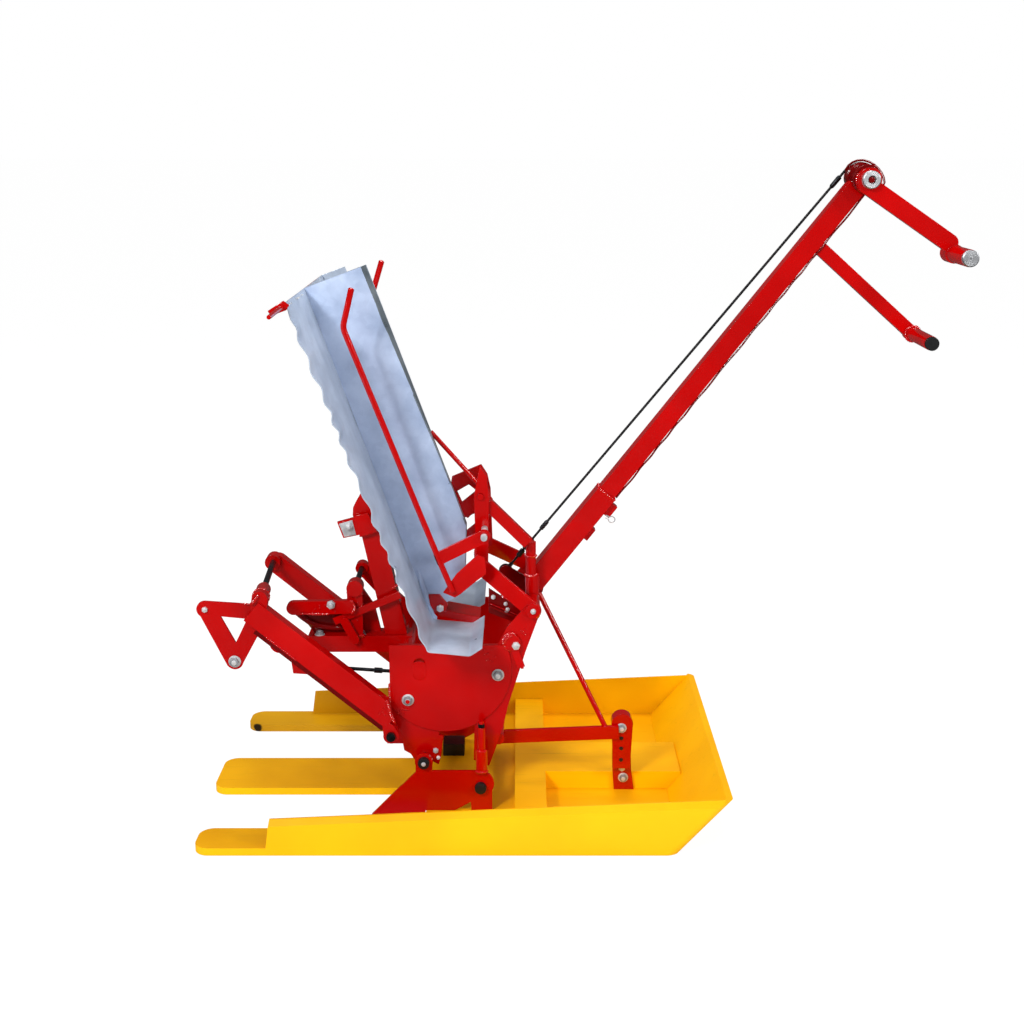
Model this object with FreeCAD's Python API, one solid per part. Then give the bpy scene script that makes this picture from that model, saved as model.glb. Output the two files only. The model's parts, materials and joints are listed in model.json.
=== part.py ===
"""Two-row hand-operated rice transplanter on a moulded float.

Frame: origin on the ground under the middle of the float, +X towards the bow, +Y to the left side,
+Z up, millimetres.  The near side is -Y.
"""
import FreeCAD, Part
import math
import os

V = FreeCAD.Vector

# ---------------------------------------------------------------- driving dimensions
# float
FLOAT_TAIL = -398.0
FLOAT_BOW = 400.0
FLOAT_HALF = 262.0
FLOAT_FLOOR = 12.0
FLOAT_WALL = 11.0
RIM_CHAMFER = 8.0
BOW_CORNER_R = 15.0
SOLE_FRONT = 322.0
BOW_BACK = 10.0
WALL_TAIL = -290.0
WALL_TOP_TAIL = 55.0
WALL_TOP_BOW = 86.0
PLANK_ROOT = -60.0
PLANK_INNER = FLOAT_HALF - 65.0
MID_PLANK_HALF = 58.0
MID_TAIL = -408.0
BEAM_TOP = 41.0
RIB_REAR = 78.0
RIB_FRONT = 127.0

# side plates and the cross members between them
PLATE_OUT = 117.0
PLATE_T = 5.0
DISC = (-30.0, 240.0)
DISC_R = 103.0
DISC_TOP = 278.0
DISC_PROUD = 2.5
DISC_REAR = -114.0
REAR_FOOT = (-62.5, 93.5)
FOOT_LOBE_R = 14.0
FOOT_SHAFT_D = 14.0
FOOT_SHAFT_HALF = 144.0
FRONT_FOOT = (25.0, 51.5)
ARM_PIVOT = (-111.0, 141.5)
ARM_PIVOT_BOSS_D = 24.0
REAR_LEG = ((-112.0, 190.0), (-30.0, 150.0), (-38.0, 137.0), (-43.0, 118.0), (-48.0, 104.0), (-50.0, 84.0),
            (-76.0, 84.0), (-84.0, 98.0), (-94.0, 104.0), (-96.0, 116.0), (-100.0, 137.0), (-113.0, 160.0))
LEG_TAB = ((-46.0, 131.0), (-33.0, 128.0), (-37.0, 92.0), (-41.0, 80.0), (-54.0, 88.0), (-54.0, 110.0))
REAR_TUBE = (-88.0, 244.0)
FRONT_TUBE = (52.0, 121.0)
HANDLE_PIVOT = (106.0, 326.0)
HANDLE_TUBE_D = 22.0
TUBE_D = 24.0

POST_HEAD = (247.5, 131.0)
POST_W = 34.0
POST_BULGE = 3.0
LEG_BOSS = (74.0, 283.0)
LEG_TOP = (106.0, 334.0)
LEG_TOP_R = 12.0
LEG = ((44.0, 262.0), (66.0, 306.0), (95.0, 340.0), (118.0, 333.0), (95.0, 268.0), (68.5, 181.0),
       (60.0, 144.0), (45.5, 99.0), (38.0, 78.0), (14.0, 88.0), (15.0, 134.0), (18.0, 160.0))

# shoes
SHOE_OUT = 138.0
SHOE_T = 5.0
SHOE_TOP = 78.5
SHOE_LOBE = (25.0, 57.0)
HEIGHT_ROD_X = 26.8
HEIGHT_ROD_Y = 135.5

BOSS_SHAFT = (-175.0, 337.6)
BOSS_SHAFT_D = 9.0
BOSS_D = 26.0
FAR_BOSS_D = 21.0

# handle
HUB = (594.0, 968.5)
HANDLE_FOOT = (98.0, 331.0)
SLEEVE_SIDE = 33.0
TUBE_SIDE = 28.0
TUBE_WALL = 2.0
SLEEVE_LEN = 186.0
HUB_TUBE_D = 34.0
HUB_BORE_D = 22.0
HUB_NEAR = -34.0
HUB_FAR = 20.0
GRIP_ARM_ROOT = (534.0, 868.5)
GRIP_ARM_END = (682.0, 739.0)
GRIP_ARM_SIDE = 20.0
GRIP_D = 21.0
GRIP_NEAR = -120.0

# hand lever
CRANK_END = (724.0, 862.0)
CRANK_Y = -46.0
CRANK_T = 14.0
CRANK_W = 26.0
CRANK_ROOT = (589.5, 961.7)
CRANK_TIP = (715.3, 878.1)
CRANK_GRIP_D = 25.0
CRANK_GRIP_NEAR = -132.0
DRUM_R = 22.0
STRAP_D = 3.4
# angle round the hub in degrees, distance from its axis, Y
STRAP_ROUTE = ((160, 17.0, 27.0), (148, 23.5, 24.0), (134, 25.0, 21.0), (118, 25.8, 18.0), (102, 26.3, 14.0),
               (86, 26.3, 8.0), (70, 25.6, 1.0), (54, 24.8, -7.0), (38, 24.2, -15.0), (22, 23.8, -23.5),
               (6, 23.7, -32.0), (-10, 23.6, -40.0), (-27, 22.0, -46.0))
CABLE_Y = 30.0
CABLE_D = 4.2
CABLE_START = 106.0

# drive rocker
ROCKER_R = 50.0
ROCKER_ANGLE = 149.0
ROCKER_NEAR = 21.0

# planting frame
ARM_OUT = 150.0
ARM_T = 20.0
ARM_W = 36.0
ARM_TIP = (-316.0, 342.0)
ARM_HEEL = (-108.0, 168.6)
ARM_BUTT = ((-120.0, 225.0), (-110.4, 174.0), (-97.0, 151.0), (-60.0, 110.0), (-30.0, 200.0))
CLAW_HOLES = ((-389.0, 339.0), (-348.0, 256.0))
CLAW_HOLE_R = 4.0
FAR_TIP = (-322.0, 331.0)
FAR_HEEL = (-108.0, 152.0)
FAR_W = 32.0
TIE_NEAR = (-303.0, 360.0)
TIE_FAR = (-328.0, 337.0)
TIE_D = 9.5
TIE_SLEEVE_D = 22.0
TIE_SLEEVE_LEN = 52.0

# seedling tray
TRAY_FOOT = (-49.81, 296.52)
TRAY_SLOPE = 69.8
TRAY_LEN = 545.0
TRAY_NEAR = -200.0
TRAY_FAR = 192.0
SHEET = 2.0
DIVIDER_H = 98.0
DIVIDER_TOP = (-12.0, 4.0)
DIVIDER_LOW = (-50.0, 4.0)
WEDGE_RUN = TRAY_LEN - 115.0
FAR_WALL_H = 40.0
TOP_ROD_NEAR = -318.0
TROUGH_FLOOR = (12.0, 291.0)
TROUGH_LIP = (30.0, 303.0)
TROUGH_END = -51.0
TRAY_BAR_NEAR = -50.0

# mat rods and their stand
ROD_D = 9.0
ROD_BEND = 24.0
FAR_ROD_EXTRA = 11.0
ROD_Y = 106.0
ROD_PIVOT = (32.0, 447.0)
SHIELD = ((-31.0, 357.0), (-10.0, 387.0), (22.0, 417.0), (33.0, 412.0), (35.0, 387.0), (20.0, 375.5),
          (-4.0, 355.0), (-13.0, 349.0))
SHIELD_T = 3.0
STAND_Y = 58.0
STAND_T = 6.0
FOOT_POST_D = 16.0
FOOT_POST_X = 103.0
RAIL = (26.0, 498.0)
RAIL_D = 10.0
RUN_FIT = 0.05


# ---------------------------------------------------------------- small shape makers
def along(angle):
    """Unit direction in the XZ plane at an angle from +X towards +Z."""
    a = math.radians(angle)
    return (math.cos(a), math.sin(a))


def shift(point, direction, distance):
    """The XZ point moved along an XZ direction."""
    return (point[0] + direction[0] * distance, point[1] + direction[1] * distance)


def heading(start, end):
    """Unit direction and length from one XZ point to another."""
    dx = end[0] - start[0]
    dz = end[1] - start[1]
    length = math.hypot(dx, dz)
    return (dx / length, dz / length), length


def plate(outline, y0, y1):
    """Flat plate with a closed XZ outline, between two Y planes."""
    points = [V(x, y0, z) for x, z in outline]
    face = Part.Face(Part.makePolygon(points + points[:1]))
    return face.extrude(V(0, y1 - y0, 0))


def block(x0, x1, y0, y1, z0, z1):
    """Box between two corners."""
    return Part.makeBox(x1 - x0, y1 - y0, z1 - z0, V(x0, y0, z0))


def cross_rod(centre, diameter, y0, y1):
    """Round bar along Y through an XZ point."""
    return Part.makeCylinder(diameter / 2, y1 - y0, V(centre[0], y0, centre[1]), V(0, 1, 0))


def cross_tube(centre, outer, inner, y0, y1):
    """Round tube along Y."""
    return cross_rod(centre, outer, y0, y1).cut(cross_rod(centre, inner, y0 - 1, y1 + 1))


def strut(start, end, width, y0, y1):
    """Flat or square bar from one XZ point to another, its width across the run in XZ."""
    (ux, uz), length = heading(start, end)
    nx, nz = -uz * width / 2, ux * width / 2
    outline = [
        (start[0] + nx, start[1] + nz),
        (end[0] + nx, end[1] + nz),
        (end[0] - nx, end[1] - nz),
        (start[0] - nx, start[1] - nz),
    ]
    return plate(outline, y0, y1)


def link(start, end, width, y0, y1):
    """Flat bar with round ends centred on two XZ points."""
    bar = strut(start, end, width, y0, y1)
    for point in (start, end):
        bar = bar.fuse(cross_rod(point, width, y0, y1))
    return bar.removeSplitter()


def polar(centre, angle, reach):
    """XZ point at an angle in degrees and a distance from a centre."""
    turn = math.radians(angle)
    return centre[0] + reach * math.cos(turn), centre[1] + reach * math.sin(turn)


def round_rod(points, diameter):
    """Round rod through 3D points, with a ball at each inner corner."""
    rod = None
    for a, b in zip(points[:-1], points[1:]):
        axis = V(*b) - V(*a)
        piece = Part.makeCylinder(diameter / 2, axis.Length, V(*a), axis)
        rod = piece if rod is None else rod.fuse(piece)
    for corner in points[1:-1]:
        rod = rod.fuse(Part.makeSphere(diameter / 2, V(*corner)))
    return rod


def bent_rod(points, diameter, bend):
    """Round rod through 3D points with every inner corner bent to one radius."""
    edges = []
    last = points[0]
    for before, corner, after in zip(points, points[1:], points[2:]):
        into = (corner - before).normalize()
        out = (after - corner).normalize()
        half = into.getAngle(out) / 2
        first = corner - into * (bend * math.tan(half))
        end = corner + out * (bend * math.tan(half))
        centre = corner + (out - into).normalize() * (bend / math.cos(half))
        middle = centre + (corner - centre).normalize() * bend
        edges += [Part.makeLine(last, first), Part.Arc(first, middle, end).toShape()]
        last = end
    edges.append(Part.makeLine(last, points[-1]))
    ring = Part.Wire(Part.makeCircle(diameter / 2, points[0], points[1] - points[0]))
    return Part.Wire(edges).makePipeShell([ring], True, False)


def slanted_link(start, end, width, thick):
    """Flat bar with round ends between two 3D points, its width lying in upright planes."""
    reach = end - start
    bar = link((0, 0), (reach.Length, 0), width, -thick / 2, thick / 2)
    level = V(reach.x, 0, reach.z)
    turn = FreeCAD.Rotation(V(1, 0, 0), level)
    tip = FreeCAD.Rotation(level, reach)
    bar.Placement = FreeCAD.Placement(start, tip.multiply(turn))
    return bar


def both_sides(shape):
    """The shape and its mirror image across the middle plane."""
    return shape, shape.mirror(V(0, 0, 0), V(0, 1, 0))


PARTS = {}


def keep(name, shape):
    """Store one sub-part under its node name."""
    PARTS[name] = shape


# ---------------------------------------------------------------- float
def make_float():
    """Moulded float: thin walls, open bow well, three tail planks, a cross rib and a middle beam."""
    floor = block(PLANK_ROOT, SOLE_FRONT, -FLOAT_HALF, FLOAT_HALF, 0, FLOAT_FLOOR)
    body = floor.fuse(block(MID_TAIL, PLANK_ROOT, -MID_PLANK_HALF, MID_PLANK_HALF, 0, FLOAT_FLOOR))
    for side in (-1, 1):
        inner, outer = sorted((side * PLANK_INNER, side * FLOAT_HALF))
        body = body.fuse(block(FLOAT_TAIL, PLANK_ROOT, inner, outer, 0, FLOAT_FLOOR))
    body = body.removeSplitter()
    corners = [e for e in body.Edges if is_tail_corner(e)]
    body = body.makeFillet(22.0, corners)
    wall = [
        (WALL_TAIL, FLOAT_FLOOR),
        (WALL_TAIL + 6, WALL_TOP_TAIL),
        (FLOAT_BOW, WALL_TOP_BOW),
        (SOLE_FRONT, 0),
        (WALL_TAIL, 0),
    ]
    for side in (-1, 1):
        inner, outer = sorted((side * (FLOAT_HALF - FLOAT_WALL), side * FLOAT_HALF))
        board = plate(wall, inner, outer)
        rim = [e for e in board.Edges if is_outer_rim(e)]
        body = body.fuse(board.makeChamfer(RIM_CHAMFER, rim))
    bow = [
        (SOLE_FRONT, 0),
        (FLOAT_BOW, WALL_TOP_BOW),
        (FLOAT_BOW - BOW_BACK, WALL_TOP_BOW),
        (SOLE_FRONT - BOW_BACK, 0),
    ]
    body = body.fuse(plate(bow, -FLOAT_HALF, FLOAT_HALF))
    rib = block(RIB_REAR, RIB_FRONT, -FLOAT_HALF, FLOAT_HALF, 0, BEAM_TOP)
    beam = block(RIB_FRONT, SOLE_FRONT + 22, -MID_PLANK_HALF, MID_PLANK_HALF, 0, BEAM_TOP)
    over = plate([(SOLE_FRONT, 0), (FLOAT_BOW, WALL_TOP_BOW), (FLOAT_BOW, 0)], -FLOAT_HALF, FLOAT_HALF)
    body = body.fuse(rib).fuse(beam.cut(over))
    body = body.removeSplitter()
    keep("float", body.makeFillet(BOW_CORNER_R, [e for e in body.Edges if is_bow_corner(e)]))


def is_outer_rim(edge):
    """The long upper outside edge of a float wall."""
    box = edge.BoundBox
    outside = min(abs(box.YMin), abs(box.YMax)) > FLOAT_HALF - 0.1
    return outside and box.ZMin > WALL_TOP_TAIL - 0.1 and box.XLength > 100


def is_bow_corner(edge):
    """The slanted outside corners between the bow and the float walls."""
    box = edge.BoundBox
    outside = min(abs(box.YMin), abs(box.YMax)) > FLOAT_HALF - 0.1
    return outside and box.XMin > SOLE_FRONT - 0.1 and box.ZLength > 30


def is_tail_corner(edge):
    """Upright edges at the rear ends of the three planks."""
    box = edge.BoundBox
    upright = box.ZLength > 5 and box.XLength < 0.1 and box.YLength < 0.1
    return upright and box.XMin < FLOAT_TAIL + 5


# ---------------------------------------------------------------- chassis
def front_leg():
    """Front leg of a side plate, with the round top that the stand's bar is bolted to."""
    y0, y1 = -PLATE_OUT, -PLATE_OUT + PLATE_T
    return plate(LEG, y0, y1).fuse(cross_rod(LEG_TOP, 2 * LEG_TOP_R, y0, y1))


def make_side_plates():
    """Round plates with a flat top, a rear foot and a front leg that rises to the handle pivot."""
    y0, y1 = -PLATE_OUT, -PLATE_OUT + PLATE_T
    disc = cross_rod(DISC, 2 * DISC_R, y0 - DISC_PROUD, y1)
    disc = disc.cut(block(-200, 100, y0 - 5, y1 + 1, DISC_TOP, 400))
    disc = disc.cut(block(-200, DISC_REAR, y0 - 5, y1 + 1, 100, 400))
    foot = plate(REAR_LEG, y0, y1).fuse(plate(LEG_TAB, y0, y1))
    foot = foot.fuse(cross_rod(REAR_FOOT, 2 * FOOT_LOBE_R, y0, y1))
    shape = disc.fuse([foot, front_leg()])
    shape = shape.fuse(cross_rod(ARM_PIVOT, ARM_PIVOT_BOSS_D, y0, y1))
    for hole in (ARM_PIVOT, REAR_FOOT):
        shape = shape.cut(cross_rod(hole, FOOT_SHAFT_D, y0 - 5, y1 + 1))
    slot = link((-68, 232), (-68, 248), 18, y0 - 5, y1 + 1)
    shape = shape.cut(slot).removeSplitter()
    near, far = both_sides(shape)
    keep("side_plate_near", near)
    keep("side_plate_far", far)


def make_cross_members():
    """Tubes between the side plates, the shafts through the feet and the planting-arm shaft."""
    inner = PLATE_OUT - PLATE_T
    tubes = [cross_rod(REAR_TUBE, TUBE_D, -inner, inner), cross_rod(FRONT_TUBE, 20, -inner, inner)]
    keep("cross_tubes", Part.makeCompound(tubes))
    keep("handle_cross_tube", cross_rod(HANDLE_PIVOT, HANDLE_TUBE_D, -inner, inner))
    half = FOOT_SHAFT_HALF
    shafts = [cross_rod(foot, FOOT_SHAFT_D, -half, half) for foot in (REAR_FOOT, FRONT_FOOT)]
    keep("foot_shafts", Part.makeCompound(shafts))
    keep("arm_shaft", cross_rod(ARM_PIVOT, FOOT_SHAFT_D, -ARM_OUT - 6, ARM_OUT + 6))


def make_shoes():
    """Standing plates on the float floor, with the height rods above their front ends."""
    y0, y1 = -SHOE_OUT, -SHOE_OUT + SHOE_T
    outline = [
        (-145, 5),
        (-100, 52),
        (-94, 57),
        (-87, 65),
        (-73, SHOE_TOP),
        (27, SHOE_TOP),
        (43, 48),
        (43, FLOAT_FLOOR),
        (10.5, FLOAT_FLOOR),
        (9.5, 26),
        (-12, 14),
        (-16, FLOAT_FLOOR),
        (-61, FLOAT_FLOOR),
        (-62, 5),
    ]
    shape = plate(outline, y0, y1)
    shape = shape.fuse(cross_rod(REAR_FOOT, 2 * FOOT_LOBE_R, y0, y1))
    shape = shape.fuse(link((-62.5, 70), REAR_FOOT, 26, y0, y1))
    shape = shape.fuse(cross_rod(SHOE_LOBE, 42, y0, y1))
    for hole in (REAR_FOOT, FRONT_FOOT):
        shape = shape.cut(cross_rod(hole, FOOT_SHAFT_D, y0 - 1, y1 + 1))
    near, far = both_sides(shape.removeSplitter())
    keep("shoe_near", near)
    keep("shoe_far", far)
    foot = V(HEIGHT_ROD_X, -HEIGHT_ROD_Y, SHOE_TOP)
    rod = Part.makeCylinder(6, 72, foot, V(0, 0, 1))
    rod = rod.fuse([Part.makeCylinder(9, 34, foot, V(0, 0, 1)), Part.makeCylinder(4, 82, foot, V(0, 0, 1))])
    lug = block(HEIGHT_ROD_X - 5.5, HEIGHT_ROD_X + 5.5, -HEIGHT_ROD_Y, -PLATE_OUT, 130, 146)
    lug = lug.cut(cross_rod(DISC, 2 * DISC_R, -PLATE_OUT - DISC_PROUD, -PLATE_OUT))
    keep("height_rods", Part.makeCompound(both_sides(rod.fuse(lug).removeSplitter())))
    pad = block(-44, -8, 66, 104, FLOAT_FLOOR, 33)
    keep("rubber_pads", Part.makeCompound(both_sides(pad)))


def make_front_mount():
    """Post bolted to the middle beam, the flat bar to it and the thin brace up to the handle foot."""
    y0, y1 = -76, -MID_PLANK_HALF
    outline = [(237, FLOAT_FLOOR), (234, 48), (234, 126), (262, 126), (264, 48), (269, FLOAT_FLOOR)]
    back = plate(outline, y1 - 5, y1)
    head = cross_rod(POST_HEAD, POST_W, y0 - POST_BULGE, y1)
    web = plate([(234, 56), (231, 126), (264, 126), (261, 56)], y0 - POST_BULGE, y0)
    bend = plate([(234, 56), (261, 56), (264, 48), (234, 48)], y1 - 9, y1 - 4)
    sides = [plate([(x, 56), (x - 1, 127), (x + 4, 127), (x + 4, 56)], y0, y1 - 4) for x in (233, 257)]
    keep("front_post", back.fuse([head, web, bend] + sides).removeSplitter())
    bar = strut((52, 112), (242, 120), 22, y0 - 10, y0 - POST_BULGE)
    keep("front_bar", bar.cut(cross_rod(FRONT_TUBE, 20, -100, 0)))
    brace = round_rod([(116, -20, 330), (221, -82, 127)], 8)
    brace = brace.cut(bar).cut(cross_rod(HANDLE_PIVOT, HANDLE_TUBE_D, -60, 60))
    half = SLEEVE_SIDE / 2
    keep("brace_rod", brace.cut(block(60, 160, -half, half, 300, 400)))


def make_rear_structure():
    """Beam that reaches back over the planks, the boss shaft, the back post and its slide block."""
    tube = cross_rod(REAR_TUBE, TUBE_D, -PLATE_OUT, PLATE_OUT)
    beam = strut((-252, 244), (-86, 244), 27, -20, 20)
    column = plate([(-187, 250), (-188, 336), (-163, 336), (-164, 250)], -20, -4)
    web = plate([(-170, 250), (-166, 330), (-147, 300), (-136, 250)], 4, 12)
    boss = cross_rod(BOSS_SHAFT, BOSS_D, -24, -2)
    shaft = cross_rod(BOSS_SHAFT, BOSS_SHAFT_D, -18, 98)
    shape = beam.fuse([column, web, boss]).cut(tube).cut(shaft)
    keep("rear_beam", shape.removeSplitter())
    keep("boss_shaft", shaft)
    arm = plate([(-182, 330), (-168, 347), (-76, 256), (-102, 238)], 88, 96)
    arm = arm.fuse(cross_rod(BOSS_SHAFT, FAR_BOSS_D, 86, 104)).cut(tube).cut(shaft)
    keep("boss_arms", arm.removeSplitter())
    post = strut((-155, 468), (-108, 240), 34, -12, 12)
    outline = [(-161, 492), (-153, 480), (-149, 455), (-170, 440), (-176, 454), (-175, 467), (-171, 475)]
    tip = plate(outline, -12, 0)
    post = post.cut(strut((-252, 244), (-60, 244), 27, -20, 20)).cut(tube).Solids[0]
    keep("back_post", post.fuse(tip).removeSplitter())
    upper = link((-272, 307), (-186, 309), 22, -30, -20)
    inner = link((-191, 284), (-176, 254), 14, -30, -20)
    diagonal = strut((-209, 283), (-103, 328), 12, -24, -20)
    keep("rear_links", upper.fuse([diagonal, inner]).removeSplitter())
    keep("guide_plate", plate([(-200, 445), (-154, 458), (-142, 429), (-191, 419)], -18, -12))


def make_stand():
    """Two uprights in front of the tray, the rail between them and the bars that carry them."""
    y0, y1 = -STAND_Y - STAND_T, -STAND_Y
    near = plate([(18, 384), (16, 500), (25, 545), (35, 531), (39, 500), (37, 384)], y0, y1)
    far_outline = [(24, 384), (12, 441), (2, 431), (-9, 437), (-17, 457), (-27, 477), (-23, 500), (24, 520),
                   (34, 504), (39, 480), (42, 384)]
    window = [(-15, 476), (4, 487), (16, 477), (-7, 458)]
    far = plate(far_outline, -y1, -y0).cut(plate(window, -y1 - 1, -y0 + 1))
    for name, upright in (("upright_near", near), ("upright_far", far)):
        for hole in (RAIL, ROD_PIVOT):
            upright = upright.cut(cross_rod(hole, RAIL_D, -100, 100))
        keep(name, upright.removeSplitter())
    rail = cross_rod(RAIL, RAIL_D, y0 - 4, -y0 + 4)
    pin = cross_rod(ROD_PIVOT, RAIL_D, -ROD_Y - 12, ROD_Y + 12)
    keep("stand_shafts", Part.makeCompound([rail, pin]))
    lower = slanted_link(V(26, y0 - 3, 388), V(LEG_TOP[0], -PLATE_OUT - 3, LEG_TOP[1]), 25, 6)
    ends = [cross_rod((26, 388), 24, y0 - 6, y0), cross_rod(LEG_TOP, 22, -PLATE_OUT - 7, -PLATE_OUT)]
    lower = lower.fuse(ends)
    lower = lower.cut([front_leg(), block(0, 60, y0, y0 + 20, 360, 420)])
    keep("stand_bars", Part.makeCompound(both_sides(lower.removeSplitter())))
    post = Part.makeCylinder(FOOT_POST_D / 2, 88, V(FOOT_POST_X, -34, 330), V(0, 0, 1))
    root = Part.makeCylinder(FOOT_POST_D / 2 + 3, 34, V(FOOT_POST_X + 2, -34, 330), V(0, 0, 1))
    post = post.fuse(root).cut(cross_rod(HANDLE_PIVOT, HANDLE_TUBE_D, -60, 0))
    keep("foot_post", post.removeSplitter())
    stay = strut((40, 480), (99, 421), 18, y1, -44)
    keep("stand_stay", stay.fuse(cross_rod((40, 480), 18, y1, -44)).removeSplitter())
    panel = plate([(38, 358), (56, 346), (82, 334), (102, 334), (102, 318), (84, 300), (38, 318)], -84, -81)
    panel = panel.cut(cross_rod(HANDLE_PIVOT, HANDLE_TUBE_D, -100, 0))
    shelf = plate([(38, 334), (84, 314), (84, 311), (38, 331)], -96, -81)
    keep("gate_bracket", panel.fuse(shelf).removeSplitter())
    boss = cross_rod(LEG_BOSS, 26, -PLATE_OUT - 6, -PLATE_OUT)
    finger = strut(LEG_BOSS, (88, 242), 12, -PLATE_OUT - 4, -PLATE_OUT)
    boss = boss.fuse(finger).cut(cross_rod(DISC, 2 * DISC_R, -PLATE_OUT - DISC_PROUD, -PLATE_OUT))
    keep("leg_bosses", Part.makeCompound(both_sides(boss.removeSplitter())))


def make_handle():
    """Square sleeve and tube, the hub bearing at the top, the fixed grip and the clamp lugs."""
    direction, length = heading(HANDLE_FOOT, HUB)
    half = SLEEVE_SIDE / 2
    start = shift(HANDLE_FOOT, direction, 14)
    end = shift(HANDLE_FOOT, direction, 14 + SLEEVE_LEN)
    sleeve = strut(start, end, SLEEVE_SIDE, -half, half)
    inner = TUBE_SIDE / 2
    sleeve = sleeve.cut(strut(start, shift(end, direction, 5), TUBE_SIDE, -inner, inner))
    pivot = cross_rod(HANDLE_PIVOT, HANDLE_TUBE_D, -half - 1, half + 1)
    keep("handle_sleeve", sleeve.cut(pivot))
    foot = shift(HANDLE_FOOT, direction, 46)
    head = shift(HUB, direction, -6)
    bore = inner - TUBE_WALL
    tube = strut(foot, head, TUBE_SIDE, -inner, inner)
    solid_head = shift(HUB, direction, -30)
    tube = tube.cut(strut(shift(foot, direction, -5), solid_head, 2 * bore, -bore, bore))
    tube = tube.cut(cross_rod(HUB, HUB_TUBE_D, -20, 20))
    keep("handle_tube", tube)
    keep("hub_bearing", cross_tube(HUB, HUB_TUBE_D, HUB_BORE_D + 2 * RUN_FIT, HUB_NEAR, HUB_FAR))
    arm = strut(GRIP_ARM_ROOT, GRIP_ARM_END, GRIP_ARM_SIDE, -GRIP_ARM_SIDE / 2, GRIP_ARM_SIDE / 2)
    arm = arm.fuse(cross_rod(GRIP_ARM_END, GRIP_D + 2, -GRIP_ARM_SIDE / 2, GRIP_ARM_SIDE / 2 + 2))
    keep("grip_arm", arm.cut(strut(foot, head, TUBE_SIDE, -inner, inner)).removeSplitter())
    keep("fixed_grip", cross_rod(GRIP_ARM_END, GRIP_D, GRIP_NEAR + 8, -GRIP_ARM_SIDE / 2))
    keep("grip_plug", cross_rod(GRIP_ARM_END, GRIP_D - 1, GRIP_NEAR, GRIP_NEAR + 8))
    under = (direction[1], -direction[0])
    lugs = []
    for along_sleeve, reach in ((182, 12), (132, 8)):
        root = shift(shift(HANDLE_FOOT, direction, along_sleeve), under, half)
        lugs.append(strut(root, shift(root, under, reach), 22, -8, 8))
    keep("clamp_lugs", Part.makeCompound(lugs))


def make_lever():
    """Crank arm with its drum shaft, grip and end caps: turns in the hub bearing."""
    y0, y1 = CRANK_Y - CRANK_T / 2, CRANK_Y + CRANK_T / 2
    arm = link(CRANK_ROOT, CRANK_TIP, CRANK_W, y0, y1)
    arm = arm.fuse([cross_rod(HUB, 34, y0, y1 + 2), cross_rod(HUB, HUB_BORE_D, CRANK_Y, 46)])
    arm = arm.fuse(cross_rod(CRANK_END, CRANK_GRIP_D + 3, y0, y1 + 16))
    keep("crank_arm", arm)
    keep("crank_grip", cross_rod(CRANK_END, CRANK_GRIP_D, CRANK_GRIP_NEAR + 6, CRANK_Y - CRANK_T / 2))
    keep("crank_plug", cross_rod(CRANK_END, CRANK_GRIP_D - 1, CRANK_GRIP_NEAR, CRANK_GRIP_NEAR + 6))
    keep("hub_cap", cross_rod(HUB, 26, CRANK_Y - CRANK_T / 2 - 9, CRANK_Y - CRANK_T / 2))
    drum = cross_tube(HUB, 2 * DRUM_R - CABLE_D - 0.6, HUB_BORE_D, 23, 40)
    keep("cable_drum", drum)
    route = [polar(HUB, angle, reach) for angle, reach, _ in STRAP_ROUTE]
    path = [(x, y, z) for (x, z), (_, _, y) in zip(route, STRAP_ROUTE)]
    strap = round_rod(path, STRAP_D).cut(drum).cut(arm)
    keep("hub_strap", max(strap.Solids, key=lambda solid: solid.Volume))


def make_cable():
    """Taut cable from the drum to the rocker eye, with its tensioner; runs along its own line."""
    eye = rocker_eye()
    tangent, run = cable_line(eye)
    axis = V(run[0], 0, run[1])
    start = shift(eye, run, CABLE_START)
    length = heading(start, tangent)[1]
    rope = Part.makeCylinder(CABLE_D / 2, length, V(start[0], CABLE_Y, start[1]), axis)
    keep("pull_cable", rope)
    # radius, first and last distance from the eye: open body, screw, lock nut, pressed ferrule
    stages = ((5.5, 16, 50), (2.2, 45, 92), (4.0, 68, 74), (3.6, 89, CABLE_START))
    solids = []
    for radius, first, last in stages:
        at = shift(eye, run, first)
        solids.append(Part.makeCylinder(radius, last - first, V(at[0], CABLE_Y, at[1]), axis))
    body = solids[0].fuse(solids[1:]).removeSplitter()
    keep("cable_tensioner", body)
    ring = cross_tube(eye, 22, 15, CABLE_Y - 2, CABLE_Y + 2)
    tongue = strut(shift(eye, run, 9), shift(eye, run, 24), 6, CABLE_Y - 2, CABLE_Y + 2)
    tongue = tongue.cut(body)
    keep("cable_eye", ring.fuse(tongue).removeSplitter())


def rocker_eye():
    """Centre of the rocker pin that the cable pulls."""
    ux, uz = along(ROCKER_ANGLE)
    return (HANDLE_PIVOT[0] + ROCKER_R * ux, HANDLE_PIVOT[1] + ROCKER_R * uz)


def cable_line(eye):
    """Tangent point on the drum's upper left side and the unit direction of the cable."""
    (ux, uz), length = heading(eye, HUB)
    lean = math.asin(DRUM_R / length)
    angle = math.degrees(math.atan2(uz, ux) + lean)
    run = along(angle)
    tangent = shift(eye, run, math.sqrt(length * length - DRUM_R * DRUM_R))
    return tangent, run


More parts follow.
